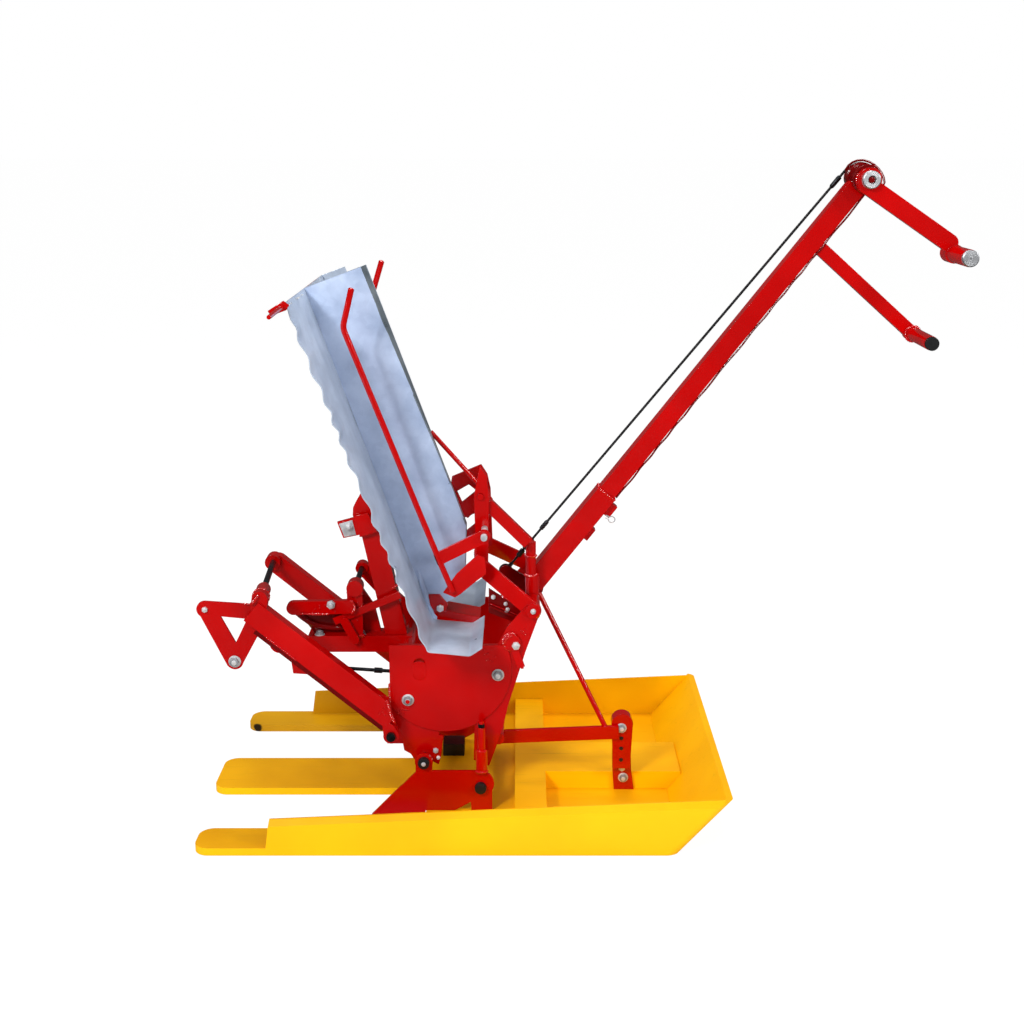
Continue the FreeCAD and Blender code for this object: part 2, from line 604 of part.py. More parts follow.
def make_rocker():
    """Bell-crank on the handle cross tube: an eye for the cable and a short lower arm."""
    eye = rocker_eye()
    y0, y1 = ROCKER_NEAR, ROCKER_NEAR + 5
    lower = shift(HANDLE_PIVOT, along(185), 44)
    shape = link(HANDLE_PIVOT, eye, 20, y0, y1).fuse(link(HANDLE_PIVOT, lower, 18, y0, y1))
    shape = shape.fuse(cross_rod(HANDLE_PIVOT, 36, y0, y1 + 8))
    shape = shape.cut(cross_rod(HANDLE_PIVOT, HANDLE_TUBE_D + 2 * RUN_FIT, y0 - 1, y1 + 9))
    shape = shape.fuse(cross_rod(eye, 8, y1 - 1, CABLE_Y + 6))
    keep("drive_rocker", shape.removeSplitter())


def make_planting_frame():
    """Two long arms on the rear shaft, the tie rod across them, the fork plate and the push rod."""
    y0, y1 = -ARM_OUT, -ARM_OUT + ARM_T
    bar = strut(ARM_TIP, ARM_HEEL, ARM_W, y0, y1)
    (ux, uz), length = heading(ARM_TIP, ARM_HEEL)
    below = (uz, -ux)
    flange_a = shift(shift(ARM_TIP, below, ARM_W / 2 + 4), (ux, uz), 24)
    flange_b = shift(ARM_HEEL, below, ARM_W / 2 + 4)
    flange = strut(flange_a, flange_b, 12, y0 + 8, y1)
    heel = cross_rod(ARM_PIVOT, ARM_PIVOT_BOSS_D, y0, y1)
    cheek = plate([(-125, 172), (-106, 158), (-100, 146), (-104, 134), (-122, 136)], y0, y1)
    shape = bar.fuse(flange).cut(plate(ARM_BUTT, y0 - 1, y1 + 1)).fuse([heel, cheek])
    shape = shape.cut(cross_rod(ARM_PIVOT, FOOT_SHAFT_D + 2 * RUN_FIT, y0 - 1, y1 + 1))
    near_horn = link((-306, 338), TIE_NEAR, 24, y0 + 4, y1 - 2)
    tie_run = [(TIE_NEAR[0], y1 - 2, TIE_NEAR[1]), (TIE_FAR[0], -y1 + 2, TIE_FAR[1])]
    reach = V(*tie_run[1]) - V(*tie_run[0])
    sleeve_end = V(*tie_run[0]) + reach * (TIE_SLEEVE_LEN / reach.Length)
    sleeve = round_rod([tie_run[0], tuple(sleeve_end)], TIE_SLEEVE_D)
    near = shape.fuse([near_horn, sleeve]).removeSplitter()
    far = strut(FAR_TIP, FAR_HEEL, FAR_W, -y1, -y0).fuse(cross_rod(ARM_PIVOT, ARM_PIVOT_BOSS_D, -y1, -y0))
    far = far.fuse([cross_rod(FAR_TIP, FAR_W, -y1, -y0), cross_rod(TIE_FAR, 26, -y1 - 10, -y0 - 4)])
    far = far.cut(cross_rod(ARM_PIVOT, FOOT_SHAFT_D + 2 * RUN_FIT, -y1 - 1, -y0 + 1)).removeSplitter()
    keep("planting_arm_near", near)
    keep("planting_arm_far", far)
    keep("tie_rod", round_rod(tie_run, TIE_D).cut(near).cut(far))
    y2 = y1 + 4
    outline = [(-388, 352), (-300, 346), (-276, 300), (-306, 306), (-338, 248), (-359, 248), (-400, 336)]
    window = [(-366, 328), (-326, 324), (-345, 286)]
    fork = plate(outline, y1, y2).fuse([cross_rod(hole, 26, y1, y2) for hole in CLAW_HOLES])
    fork = fork.cut(plate(window, y1 - 1, y2 + 1))
    for hole in CLAW_HOLES:
        fork = fork.cut(cross_rod(hole, 2 * CLAW_HOLE_R, y1 - 1, y2 + 1))
    keep("fork_plate", fork.removeSplitter())
    bracket = plate([(-264, 272), (-260, 236), (-228, 234), (-196, 222), (-230, 262)], y1, y2)
    # thin rod with a swaged sleeve two thirds of the way along
    line = [V(-244, y2 + 2, 247), V(-112, -101, 229)]
    sleeve = [tuple(line[0] + (line[1] - line[0]) * share) for share in (0.80, 0.89)]
    rod = round_rod([tuple(point) for point in line], 5.5).fuse(round_rod(sleeve, 8.5))
    rod = rod.cut(block(-300, 0, -200, y2, 200, 300)).removeSplitter()
    lobe = cross_rod((-279, 284), 30, y1, y2)
    keep("push_bracket", bracket.fuse(lobe).cut(bar).cut(fork))
    keep("push_rod", rod)


def tray_point(run, height):
    """XZ point at a run down the bed and a height square off it."""
    ux, uz = along(-TRAY_SLOPE)
    down = run - TRAY_LEN
    return (TRAY_FOOT[0] + ux * down - uz * height, TRAY_FOOT[1] + uz * down + ux * height)


def make_tray():
    """Leaning two-bay tray of sheet metal: bed, wedge-shaped divider, far wall and the two troughs."""
    corners = ((0, 0), (TRAY_LEN, 0), (TRAY_LEN, -SHEET), (0, -SHEET))
    outline = [tray_point(run, height) for run, height in corners]
    bed = plate(outline, TRAY_NEAR, TRAY_FAR)
    keep("tray_bed", bed)
    outline = [tray_point(0, 0), tray_point(0, FAR_WALL_H), tray_point(TRAY_LEN - 65, FAR_WALL_H),
               tray_point(TRAY_LEN - 45, 0)]
    wall = plate(outline, TRAY_FAR - SHEET, TRAY_FAR)
    keep("tray_far_wall", wall)
    keep("tray_divider", divider_body(0).cut(divider_body(SHEET)).removeSplitter())
    corner = tray_point(TRAY_LEN, 0)
    drop = SHEET * 1.2
    outline = [tray_point(TRAY_LEN, -SHEET), corner, TROUGH_FLOOR, TROUGH_LIP,
               (TROUGH_LIP[0] + 1.6, TROUGH_LIP[1] - drop), (TROUGH_FLOOR[0] + 1, TROUGH_FLOOR[1] - drop),
               (corner[0], corner[1] - drop)]
    bays = [plate(outline, TRAY_NEAR, TROUGH_END), plate(outline, 6, 155)]
    keep("tray_troughs", Part.makeCompound(bays))
    outline = [(-57, 338), (-39, 338), (-26, 322), (-31, 308), (-47, 308), (-54, 320)]
    bracket = plate(outline, TRAY_BAR_NEAR - 4, TRAY_BAR_NEAR)
    bar = plate([(-42, 312), (24, 299), (24, 291), (10, 288), (-42, 302)], TRAY_BAR_NEAR, 2)
    bar = bar.cut(divider_body(0))
    keep("tray_cross_bar", bracket.fuse(bar).removeSplitter())
    keep("tray_top_rod", cross_rod(tray_point(4, -SHEET - 3), 6, TOP_ROD_NEAR, TRAY_FAR))
    high = tray_point(TRAY_LEN - 273, DIVIDER_H)
    mid = (DIVIDER_TOP[0] + DIVIDER_TOP[1]) / 2
    stay = round_rod([(high[0], mid, high[1]), (RAIL[0] - 5, mid, RAIL[1] + 5)], 7)
    stay = stay.cut(divider_body(0)).cut(cross_rod(RAIL, 17, -20, 10))
    sleeve = cross_tube(RAIL, 18, RAIL_D + 2 * RUN_FIT, mid - 7, mid + 7)
    keep("tray_stay", stay.fuse(sleeve).removeSplitter())


def divider_body(inset):
    """Wedge between the bays that widens towards the bottom, drawn in by an inset on its free faces."""
    height = DIVIDER_H - inset
    sections = []
    for run, (y0, y1) in ((inset, DIVIDER_TOP), (WEDGE_RUN, DIVIDER_LOW)):
        (x0, z0), (x1, z1) = tray_point(run, 0), tray_point(run, height)
        near, far = y0 + inset, y1 - inset
        corners = [V(x0, near, z0), V(x1, near, z1), V(x1, far, z1), V(x0, far, z0)]
        sections.append(Part.makePolygon(corners + corners[:1]))
    upper = Part.makeLoft(sections, True, True)
    y0, y1 = DIVIDER_LOW
    end = WEDGE_RUN + 102 - inset
    corners = ((WEDGE_RUN, 0), (WEDGE_RUN, height), (end - 12, 62), (end, 0))
    tail = [tray_point(run, rise) for run, rise in corners]
    return upper.fuse(plate(tail, y0 + inset, y1 - inset))


def make_mat_rods():
    """Bent rods that hold the seedling mats on the bed, each on its own bar and pivot."""
    # side, swing away from the bed in degrees, extra length at the top
    table = (("near", -1, 0.0, 0.0), ("far", 1, 3.3, FAR_ROD_EXTRA))
    for name, side, lift, extra in table:
        path = [(-157, 817), (-171, 761), (-35, 406.5), (-16, 359)]
        path[0] = shift(path[0], heading(path[1], path[0])[0], extra)
        rod = bent_rod([V(x, side * ROD_Y, z) for x, z in path], ROD_D, ROD_BEND)
        y0 = side * ROD_Y - 3
        bar = link((-37, 412), ROD_PIVOT, 20, y0, y0 + 6)
        y1, y2 = sorted((side * (ROD_Y - 3), side * (ROD_Y - 3 - SHIELD_T)))
        shield = plate(SHIELD, y1, y2)
        shape = bar.fuse([rod, shield]).cut(cross_rod(ROD_PIVOT, RAIL_D + 2 * RUN_FIT, y0 - 1, y0 + 7))
        shape = shape.removeSplitter()
        shape.rotate(V(ROD_PIVOT[0], 0, ROD_PIVOT[1]), V(0, 1, 0), lift)
        keep("mat_rod_" + name, shape)


def build_all():
    make_float()
    make_side_plates()
    make_cross_members()
    make_shoes()
    make_front_mount()
    make_rear_structure()
    make_stand()
    make_handle()
    make_lever()
    make_cable()
    make_rocker()
    make_planting_frame()
    make_tray()
    make_mat_rods()


build_all()
os.makedirs("parts", exist_ok=True)
for name, shape in PARTS.items():
    shape.exportStep(os.path.join("parts", name + ".step"))
    print(name, shape.isValid(), len(shape.Solids), round(shape.Volume / 1000, 1))
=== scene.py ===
"""Two-row hand-operated rice transplanter: a red steel frame on a yellow moulded float."""
import json
import math
from random import Random

import bpy
from mathutils import Matrix, Vector, noise

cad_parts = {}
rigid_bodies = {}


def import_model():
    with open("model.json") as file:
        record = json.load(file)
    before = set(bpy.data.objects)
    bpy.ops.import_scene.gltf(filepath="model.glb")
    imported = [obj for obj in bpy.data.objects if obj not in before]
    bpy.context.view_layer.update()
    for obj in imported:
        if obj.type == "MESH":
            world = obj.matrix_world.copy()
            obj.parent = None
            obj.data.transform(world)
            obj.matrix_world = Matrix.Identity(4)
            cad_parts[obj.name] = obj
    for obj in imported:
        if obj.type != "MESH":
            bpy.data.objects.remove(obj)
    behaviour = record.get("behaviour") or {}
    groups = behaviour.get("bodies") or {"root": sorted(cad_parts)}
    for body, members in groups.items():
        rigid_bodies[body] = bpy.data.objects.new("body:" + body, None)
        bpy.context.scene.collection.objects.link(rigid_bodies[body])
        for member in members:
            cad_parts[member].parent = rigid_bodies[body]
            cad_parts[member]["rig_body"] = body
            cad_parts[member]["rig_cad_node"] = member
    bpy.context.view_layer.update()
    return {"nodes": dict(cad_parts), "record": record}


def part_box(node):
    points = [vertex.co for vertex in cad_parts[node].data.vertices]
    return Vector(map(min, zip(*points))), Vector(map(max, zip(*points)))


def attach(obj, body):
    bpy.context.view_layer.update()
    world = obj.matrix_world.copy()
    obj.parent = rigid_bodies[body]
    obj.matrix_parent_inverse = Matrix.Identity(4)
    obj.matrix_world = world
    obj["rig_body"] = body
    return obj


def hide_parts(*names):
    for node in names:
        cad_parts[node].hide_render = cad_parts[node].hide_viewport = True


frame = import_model()
bodies = frame["record"]["behaviour"]["bodies"]
body_of_node = {node: body for body, nodes in bodies.items() for node in nodes}

# ---------------------------------------------------------------- camera
# A long lens at standing height, a couple of metres to the side of the machine and tipped
# down a little, level from left to right.
CAMERA_PLACE = (0.0845, -2.216, 1.041)
CAMERA_TIP = 14.77
bpy.ops.object.camera_add(location=CAMERA_PLACE, rotation=(math.radians(90 - CAMERA_TIP), 0, 0))
camera = bpy.context.object
camera.data.sensor_width = 36.0
camera.data.lens = 51.22
camera.data.shift_x = -0.0068
bpy.context.scene.camera = camera

# ---------------------------------------------------------------- floor, backdrop and lights
# A plain white studio sweep with two large soft boxes and an even pale room round it.  The sweep
# shows white to the eye, dim grey in reflections, and still takes the soft shadow of the float.


def colour(code):
    """A linear colour from an sRGB hex value."""
    channels = [int(code[i:i + 2], 16) / 255 for i in (1, 3, 5)]
    return [c / 12.92 if c <= 0.04045 else ((c + 0.055) / 1.055) ** 2.4 for c in channels] + [1.0]


def wire(tree, node, sockets):
    """A node's sockets set: each takes a number, a colour, another node or one of its outputs."""
    for name, value in sockets.items():
        if isinstance(value, bpy.types.Node):
            value = next(output for output in value.outputs if output.enabled)
        if isinstance(value, bpy.types.NodeSocket):
            tree.links.new(value, node.inputs[name])
        else:
            node.inputs[name].default_value = value


def add(tree, kind, sockets, **settings):
    """One new shader node with its settings and sockets."""
    node = tree.nodes.new("ShaderNode" + kind)
    for name, value in settings.items():
        setattr(node, name, value)
    wire(tree, node, sockets)
    return node


def primitive(kind, name, **settings):
    """One of Blender's basic meshes, made with nothing else selected."""
    bpy.ops.object.select_all(action="DESELECT")
    getattr(bpy.ops.mesh, f"primitive_{kind}_add")(**settings)
    piece = bpy.context.object
    piece.name = name
    return piece


FLOOR_SIZE = 60
FLOOR_PLACE = (0, 20.0, -0.0006)
PAPER_GLOW = 1.105
PAPER_LIFT = 0.84
PAPER_SHINE = 0.07
ROOM_LIGHT = 0.46
ROOM_SHINE = 0.07
floor = primitive("plane", "studio_floor", size=FLOOR_SIZE, location=FLOOR_PLACE)
sweep_paper = bpy.data.materials.new("matt white paper")
sweep_paper.use_nodes = True
paper = sweep_paper.node_tree
paper.nodes.clear()
ray = add(paper, "LightPath", {}).outputs
glow = add(paper, "Math", {0: ray["Is Camera Ray"], 1: PAPER_GLOW - PAPER_SHINE, 2: PAPER_SHINE},
           operation="MULTIPLY_ADD")
straight = add(paper, "Math", {0: ray["Is Camera Ray"], 1: PAPER_LIFT}, operation="MULTIPLY")
lift = add(paper, "Math", {0: ray["Is Glossy Ray"], 1: straight}, operation="MAXIMUM")
sheet_lit = add(paper, "BsdfDiffuse", {"Color": colour("#F4F4F4")})
sheet_glow = add(paper, "Emission", {"Color": colour("#FFFFFF"), "Strength": glow})
sheet = add(paper, "MixShader", {0: lift, 1: sheet_lit, 2: sheet_glow})
add(paper, "OutputMaterial", {"Surface": sheet})
floor.data.materials.append(sweep_paper)

room = bpy.data.worlds.new("pale room")
bpy.context.scene.world = room
room.use_nodes = True
air = room.node_tree
air.nodes.clear()
ray = add(air, "LightPath", {}).outputs
calm = add(air, "Math", {0: ray["Is Glossy Ray"], 1: ROOM_SHINE - ROOM_LIGHT, 2: ROOM_LIGHT},
           operation="MULTIPLY_ADD")
room_lit, room_seen = (add(air, "Background", {"Color": colour("#FFFFFF"), "Strength": strength})
                       for strength in (calm, 1.0))
walls = add(air, "MixShader", {0: ray["Is Camera Ray"], 1: room_lit, 2: room_seen})
add(air, "OutputWorld", {"Surface": walls})

# name, place, point it faces, width, watts
SOFT_BOXES = (
    ("key_light", (-1.5, -2.4, 2.3), (0.0, 0.0, 0.4), 0.7, 62.0),
    ("side_light", (2.3, -1.6, 1.7), (0.1, 0.0, 0.4), 0.5, 24.0),
    ("top_light", (0.1, 0.5, 2.6), (0.1, 0.0, 0.4), 0.8, 30.0),
    ("glint_left", (-1.2, -2.3, 1.9), (0.0, 0.0, 0.4), 0.10, 8.0),
    ("glint_right", (1.3, -2.3, 1.7), (0.2, 0.0, 0.5), 0.10, 7.0),
)
for name, place, target, width, watts in SOFT_BOXES:
    bpy.ops.object.light_add(type="AREA", location=place)
    lamp = bpy.context.object
    lamp.name = name
    lamp.data.size = width
    lamp.data.energy = watts
    aim = Vector(target) - Vector(place)
    lamp.rotation_euler = aim.to_track_quat("-Z", "Y").to_euler()

bpy.context.scene.view_settings.view_transform = "Standard"

# ---------------------------------------------------------------- yellow float
# One rotational moulding in tough polyethylene: thin walls round an open well at the bow, three
# planks at the tail.  Its sides are a brighter yellow than its upward faces, painted light; the
# upward faces are amber, partly dulled with wear and partly painted shade.
MM = 0.001
MERGE = 0.02 * MM
CORNER = math.radians(35)
CLOUD = 0.16
SCUFF = 0.05
SCRATCH = 0.25
PEBBLE = 0.006
CHIP_AT = (-0.382, 0.197, 0.007)


def finish_named(name):
    """A new material with its tree, its surface shader and the object coordinates."""
    material = bpy.data.materials.new(name)
    material.use_nodes = True
    tree = material.node_tree
    place = add(tree, "TexCoord", {}).outputs["Object"]
    return material, tree, tree.nodes["Principled BSDF"], place


def two_tones(tree, factor, low, high, first=0.3, last=0.7):
    """A blend between two sRGB tones over part of a factor's range."""
    ramp = add(tree, "ValToRGB", {"Fac": factor})
    for end, position, tone in zip(ramp.color_ramp.elements, (first, last), (low, high)):
        end.position = position
        end.color = colour(tone)
    return ramp.outputs["Color"]


poly, tree, shader, place = finish_named("moulded yellow polyethylene")
way = add(tree, "SeparateXYZ", {"Vector": place}).outputs
outward = add(tree, "NewGeometry", {}).outputs["Normal"]
upward = add(tree, "SeparateXYZ", {"Vector": outward}).outputs["Z"]
cloud = add(tree, "TexNoise", {"Vector": place, "Scale": 1 / CLOUD, "Detail": 4.0})
# the sides' bright yellow and the well floor's lighter amber are painted light; the tail planks'
# darker amber is painted shade and wear from boots
side_tone = two_tones(tree, cloud, "#F4B400", "#FBC200")
well_light_tone = two_tones(tree, cloud, "#E89E00", "#F4B000")
boot_wear_shade_tone = two_tones(tree, cloud, "#E09C00", "#F0AE00")
far_plank_tone = two_tones(tree, cloud, "#B88206", "#CE960A")
tail_wear_and_shade = add(tree, "MapRange", {"Value": way["X"], "From Min": 0.10, "From Max": -0.06})
facing = add(tree, "MapRange", {"Value": upward, "From Min": 0.25, "From Max": 0.9})
top_tone = add(tree, "Mix", {0: tail_wear_and_shade, 6: well_light_tone, 7: boot_wear_shade_tone}, data_type="RGBA")
facing_tone = add(tree, "Mix", {0: facing, 6: side_tone, 7: top_tone}, data_type="RGBA")
# the far plank at the tail is a darker amber
far_plank = add(tree, "MapRange", {"Value": way["Y"], "From Min": 0.13, "From Max": 0.17})
far_tail_share = add(tree, "Math", {0: far_plank, 1: tail_wear_and_shade}, operation="MULTIPLY")
body_tone = add(tree, "Mix", {0: far_tail_share, 6: facing_tone, 7: far_plank_tone}, data_type="RGBA")
drag = add(tree, "Mapping", {"Vector": place, "Scale": (3.0, 40.0, 40.0)})
scratch = add(tree, "TexNoise", {"Vector": drag, "Scale": 1 / SCRATCH, "Detail": 6.0})
scored = add(tree, "MapRange", {"Value": scratch, "From Min": 0.60, "From Max": 0.74,
                                "To Max": 0.24})
soil = add(tree, "TexNoise", {"Vector": place, "Scale": 1 / SCUFF, "Detail": 8.0,
                              "Roughness": 0.7})
soiled = add(tree, "MapRange", {"Value": soil, "From Min": 0.58, "From Max": 0.76, "To Max": 0.18})
worn = add(tree, "Math", {0: soiled, 1: scored}, operation="MAXIMUM")
worn_top = add(tree, "Math", {0: worn, 1: facing}, operation="MULTIPLY")
with_soil = add(tree, "Mix", {0: worn_top, 6: body_tone, 7: colour("#A87808")}, data_type="RGBA")
from_chip = add(tree, "VectorMath", {0: place, 1: CHIP_AT}, operation="DISTANCE")
ragged = add(tree, "Math", {0: soil, 1: 0.012, 2: from_chip}, operation="MULTIPLY_ADD")
chipped = add(tree, "MapRange", {"Value": ragged, "From Min": 0.015, "From Max": 0.012})
with_chip = add(tree, "Mix", {0: chipped, 6: with_soil, 7: colour("#2A1C08")}, data_type="RGBA")
slow_wave = add(tree, "Bump", {"Height": cloud, "Strength": 0.3, "Distance": 0.006})
pebble = add(tree, "TexNoise", {"Vector": place, "Scale": 1 / PEBBLE, "Detail": 2.0})
wire(tree, shader, {
    "Base Color": with_chip,
    "Roughness": add(tree, "MapRange", {"Value": cloud, "To Min": 0.30, "To Max": 0.50}),
    "Normal": add(tree, "Bump", {"Height": pebble, "Strength": 0.10, "Distance": 0.0004,
                                 "Normal": slow_wave}),
    "Specular IOR Level": 0.15,
})


def rounded(node, edge, finish, turns=2):
    """A copy of a CAD node with its sharp edges rounded over, which stands for the node."""
    bpy.ops.object.select_all(action="DESELECT")
    source = frame["nodes"][node]
    piece = source.copy()
    piece.data = source.data.copy()
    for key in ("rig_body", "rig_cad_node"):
        del piece[key]
    piece.parent = None
    piece.name = node + "_made"
    bpy.context.scene.collection.objects.link(piece)
    bpy.context.view_layer.objects.active = piece
    piece.select_set(True)
    bpy.ops.mesh.customdata_custom_splitnormals_clear()
    bpy.ops.object.mode_set(mode="EDIT")
    bpy.ops.mesh.select_mode(type="EDGE")
    bpy.ops.mesh.select_all(action="SELECT")
    bpy.ops.mesh.remove_doubles(threshold=MERGE)
    bpy.ops.mesh.dissolve_limited(angle_limit=math.radians(0.4))
    bpy.ops.mesh.select_all(action="DESELECT")
    bpy.ops.mesh.edges_select_sharp(sharpness=CORNER)
    bpy.ops.mesh.bevel(offset=edge, offset_type="OFFSET", segments=turns, affect="EDGES",
                       clamp_overlap=True)
    bpy.ops.object.mode_set(mode="OBJECT")
    bpy.ops.object.shade_smooth_by_angle(angle=CORNER)
    bpy.ops.object.modifier_add(type="WEIGHTED_NORMAL")
    piece.modifiers[-1].keep_sharp = True
    piece.modifiers[-1].weight = 100
    bpy.ops.object.modifier_apply(modifier=piece.modifiers[-1].name)
    piece.data.materials.clear()
    piece.data.materials.append(finish)
    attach(piece, body_of_node[node])
    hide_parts(node)
    return piece


rounded("float", 3.0 * MM, poly, turns=3)

# ---------------------------------------------------------------- red frame
# Mild steel plate, flat bar and tube, cut, welded and sprayed with a gloss red enamel.  The
# enamel rounds every cut edge a little and is slightly uneven, like orange peel.
PEEL = 0.005
TONE_PATCH = 0.12
RUN_PATCH = 0.02
EDGE_RADIUS = 0.0010


def red_enamel(name, low, high, shine=0.32, coat=0.35):
    """Sprayed gloss enamel: soft tonal drift between two reds, sags and a fine peel."""
    material, tree, shader, place = finish_named(name)
    tone = add(tree, "TexNoise", {"Vector": place, "Scale": 1 / TONE_PATCH, "Detail": 2.0})
    flow_out = add(tree, "TexNoise", {"Vector": place, "Scale": 1 / RUN_PATCH, "Detail": 2.0})
    peel = add(tree, "TexNoise", {"Vector": place, "Scale": 1 / PEEL, "Detail": 1.0})
    edge_round = add(tree, "Bevel", {"Radius": EDGE_RADIUS}, samples=4)
    sag = add(tree, "Bump", {"Height": flow_out, "Strength": 0.18, "Distance": 0.0015,
                             "Normal": edge_round})
    wire(tree, shader, {
        "Base Color": two_tones(tree, tone, low, high, 0.35, 0.65),
        "Roughness": add(tree, "MapRange", {"Value": flow_out, "To Min": 0.10, "To Max": 0.20}),
        "Normal": add(tree, "Bump", {"Height": peel, "Strength": 0.04, "Distance": 0.0006,
                                     "Normal": sag}),
        "Specular IOR Level": shine,
        "Coat Weight": coat,
        "Coat Roughness": 0.06,
    })
    return material


enamel = red_enamel("gloss red enamel", "#A80000", "#BA0000")
# a darker red that stands in for shade: painted shade on every part that takes it
shade_enamel = red_enamel("red enamel, darkened as painted shade", "#5A0000", "#780002")
weld_enamel = red_enamel("gloss red enamel over weld", "#B00004", "#C80008", shine=0.8, coat=1.0)

STEEL_EDGE = 0.9 * MM
RED_NODES = (
    "side_plate_near", "side_plate_far", "cross_tubes", "handle_cross_tube", "shoe_near",
    "shoe_far", "height_rods", "front_post", "front_bar", "brace_rod", "rear_beam", "boss_arms",
    "back_post", "rear_links", "upright_near", "upright_far", "stand_bars", "foot_post",
    "stand_stay", "gate_bracket", "leg_bosses", "handle_sleeve", "handle_tube", "hub_bearing",
    "grip_arm", "fixed_grip", "clamp_lugs", "crank_arm", "crank_grip", "cable_drum", "hub_strap",
    "drive_rocker", "planting_arm_near", "planting_arm_far", "fork_plate", "push_bracket",
    "tray_top_rod", "tray_stay", "tray_cross_bar", "mat_rod_near", "mat_rod_far",
)
for node in RED_NODES:
    rounded(node, STEEL_EDGE, enamel)

# the near mat rod's bar stops square, a little way behind the rod
BAR_REACH = 10.8 * MM
ROD_REACH = 5.2 * MM
BAR_SHOW = 3.0 * MM
bar_foot = Vector((-0.037, 0.0, 0.412))
bar_way = (Vector((0.032, 0.0, 0.447)) - bar_foot).normalized()
rod_way = Vector((-0.136, 0.0, 0.3545)).normalized()
for vertex in bpy.data.objects["mat_rod_near_made"].data.vertices:
    out = vertex.co - bar_foot
    out.y = 0.0
    off_rod = (out - rod_way * out.dot(rod_way)).length
    if out.length < BAR_REACH and off_rod > ROD_REACH and out.dot(bar_way) < 0.0:
        vertex.co -= bar_way * (out.dot(bar_way) + BAR_SHOW)

# the gate bracket, the drive rocker and the strap on the hub take the darker red, painted shade
for name in ("gate_bracket_made", "drive_rocker_made", "hub_strap_made"):
    bpy.data.objects[name].data.materials[0] = shade_enamel
# the near arm's set-back flange and its own end take the darker red, painted shade on that face
FLANGE_Y = (-0.1425, -0.1415)
flange = bpy.data.objects["planting_arm_near_made"].data
flange.materials.append(shade_enamel)
for face in flange.polygons:
    in_flange = face.normal.y < -0.9 and FLANGE_Y[0] < face.center.y < FLANGE_Y[1]
    face.material_index = 1 if in_flange else 0

# ---------------------------------------------------------------- bare steel, rubber and zinc
# Ground steel shafts and rods with a film of old grease, black rubber pads and bushes, and
# bright zinc plate on the small fixings and on the stand's lower shafts.
FILM = 0.012
BLOOM = 0.009
RAIL_TOP = 0.47


def plain_metal(name, low, high, patch, detail, metallic, gloss, first=0.35, last=0.65):
    """Metal mottled between two tones; a gloss of two values varies with the mottling."""
    material, tree, shader, place = finish_named(name)
    mottle = add(tree, "TexNoise", {"Vector": place, "Scale": 1 / patch, "Detail": detail})
    if isinstance(gloss, tuple):
        gloss = add(tree, "MapRange", {"Value": mottle, "To Min": gloss[0], "To Max": gloss[1]})
    tone = two_tones(tree, mottle, low, high, first, last)
    wire(tree, shader, {"Base Color": tone, "Roughness": gloss, "Metallic": metallic})
    return material


shaft_steel = plain_metal("greased dark steel", "#121416", "#3C4044", FILM, 4.0, 0.8, 0.33,
                          last=0.7)
zinc = plain_metal("bright zinc plate", "#C4C8CC", "#F4F5F6", FILM, 4.0, 0.6, (0.42, 0.60))
# the bolt heads' zinc is darker than the washers'
hex_zinc = plain_metal("handled zinc plate", "#84898E", "#B0B5BA", FILM, 4.0, 0.6, (0.42, 0.60))

rubber, tree, shader, place = finish_named("black rubber")
bloom = add(tree, "TexNoise", {"Vector": place, "Scale": 1 / BLOOM, "Detail": 5.0})
wire(tree, shader, {
    "Base Color": two_tones(tree, bloom, "#060607", "#1A1B1D", 0.0, 1.0),
    "Roughness": 0.45,
    "Normal": add(tree, "Bump", {"Height": bloom, "Strength": 0.2, "Distance": 0.0006}),
})

for node in ("foot_shafts", "rubber_pads", "grip_plug"):
    rounded(node, STEEL_EDGE, rubber)
for node in ("boss_shaft", "tie_rod", "push_rod", "cable_eye", "arm_shaft"):
    rounded(node, 0.5 * MM, shaft_steel)
rounded("guide_plate", 0.6 * MM, enamel)
rail = rounded("stand_shafts", 0.6 * MM, zinc)
rail.data.materials.append(enamel)
for face in rail.data.polygons:
    face.material_index = 1 if face.center.z > RAIL_TOP else 0

# ---------------------------------------------------------------- seedling tray
# A leaning two-bay tray folded from thin galvanised sheet, with a wedge-shaped divider and a
# curled trough at the foot of each bay.  Hand folding has left the free edge wavy and dented.
SPANGLE = 0.009
SHEET_CLOUD = 0.06


def galvanised(name, low, high):
    """Zinc-dipped sheet: soft clouds with faint crystal facets, between two tones."""
    material, tree, shader, place = finish_named(name)
    bloom = add(tree, "TexNoise", {"Vector": place, "Scale": 1 / SHEET_CLOUD, "Detail": 6.0,
                                   "Roughness": 0.55})
    wobble = add(tree, "Mix", {0: 0.008, 4: place, 5: bloom.outputs["Color"]}, data_type="VECTOR")
    crystal = add(tree, "TexVoronoi", {"Vector": wobble, "Scale": 1 / SPANGLE})
    facet = add(tree, "SeparateColor", {"Color": crystal.outputs["Color"]})
    faint = add(tree, "Math", {0: facet, 1: 0.07}, operation="MULTIPLY")
    tone = add(tree, "Math", {0: faint, 1: bloom}, operation="ADD")
    wire(tree, shader, {
        "Base Color": two_tones(tree, tone, low, high, 0.35, 0.72),
        "Roughness": add(tree, "MapRange", {"Value": tone, "From Min": 0.3, "From Max": 0.8,
                                            "To Min": 0.26, "To Max": 0.44}),
        "Metallic": 0.35,
        "Normal": add(tree, "Bump", {"Height": tone, "Strength": 0.10, "Distance": 0.0008}),
    })
    return material


cheek_zinc = galvanised("galvanised sheet, pale", "#A6B8D8", "#C6D6F2")
bed_zinc = galvanised("galvanised sheet, dull", "#A6B3C4", "#C6D2E2")
# the divider's free edge takes a darker zinc, painted shade along the fold
edge_shade_zinc = galvanised("galvanised sheet, darkened as painted shade", "#626D76", "#8D979F")

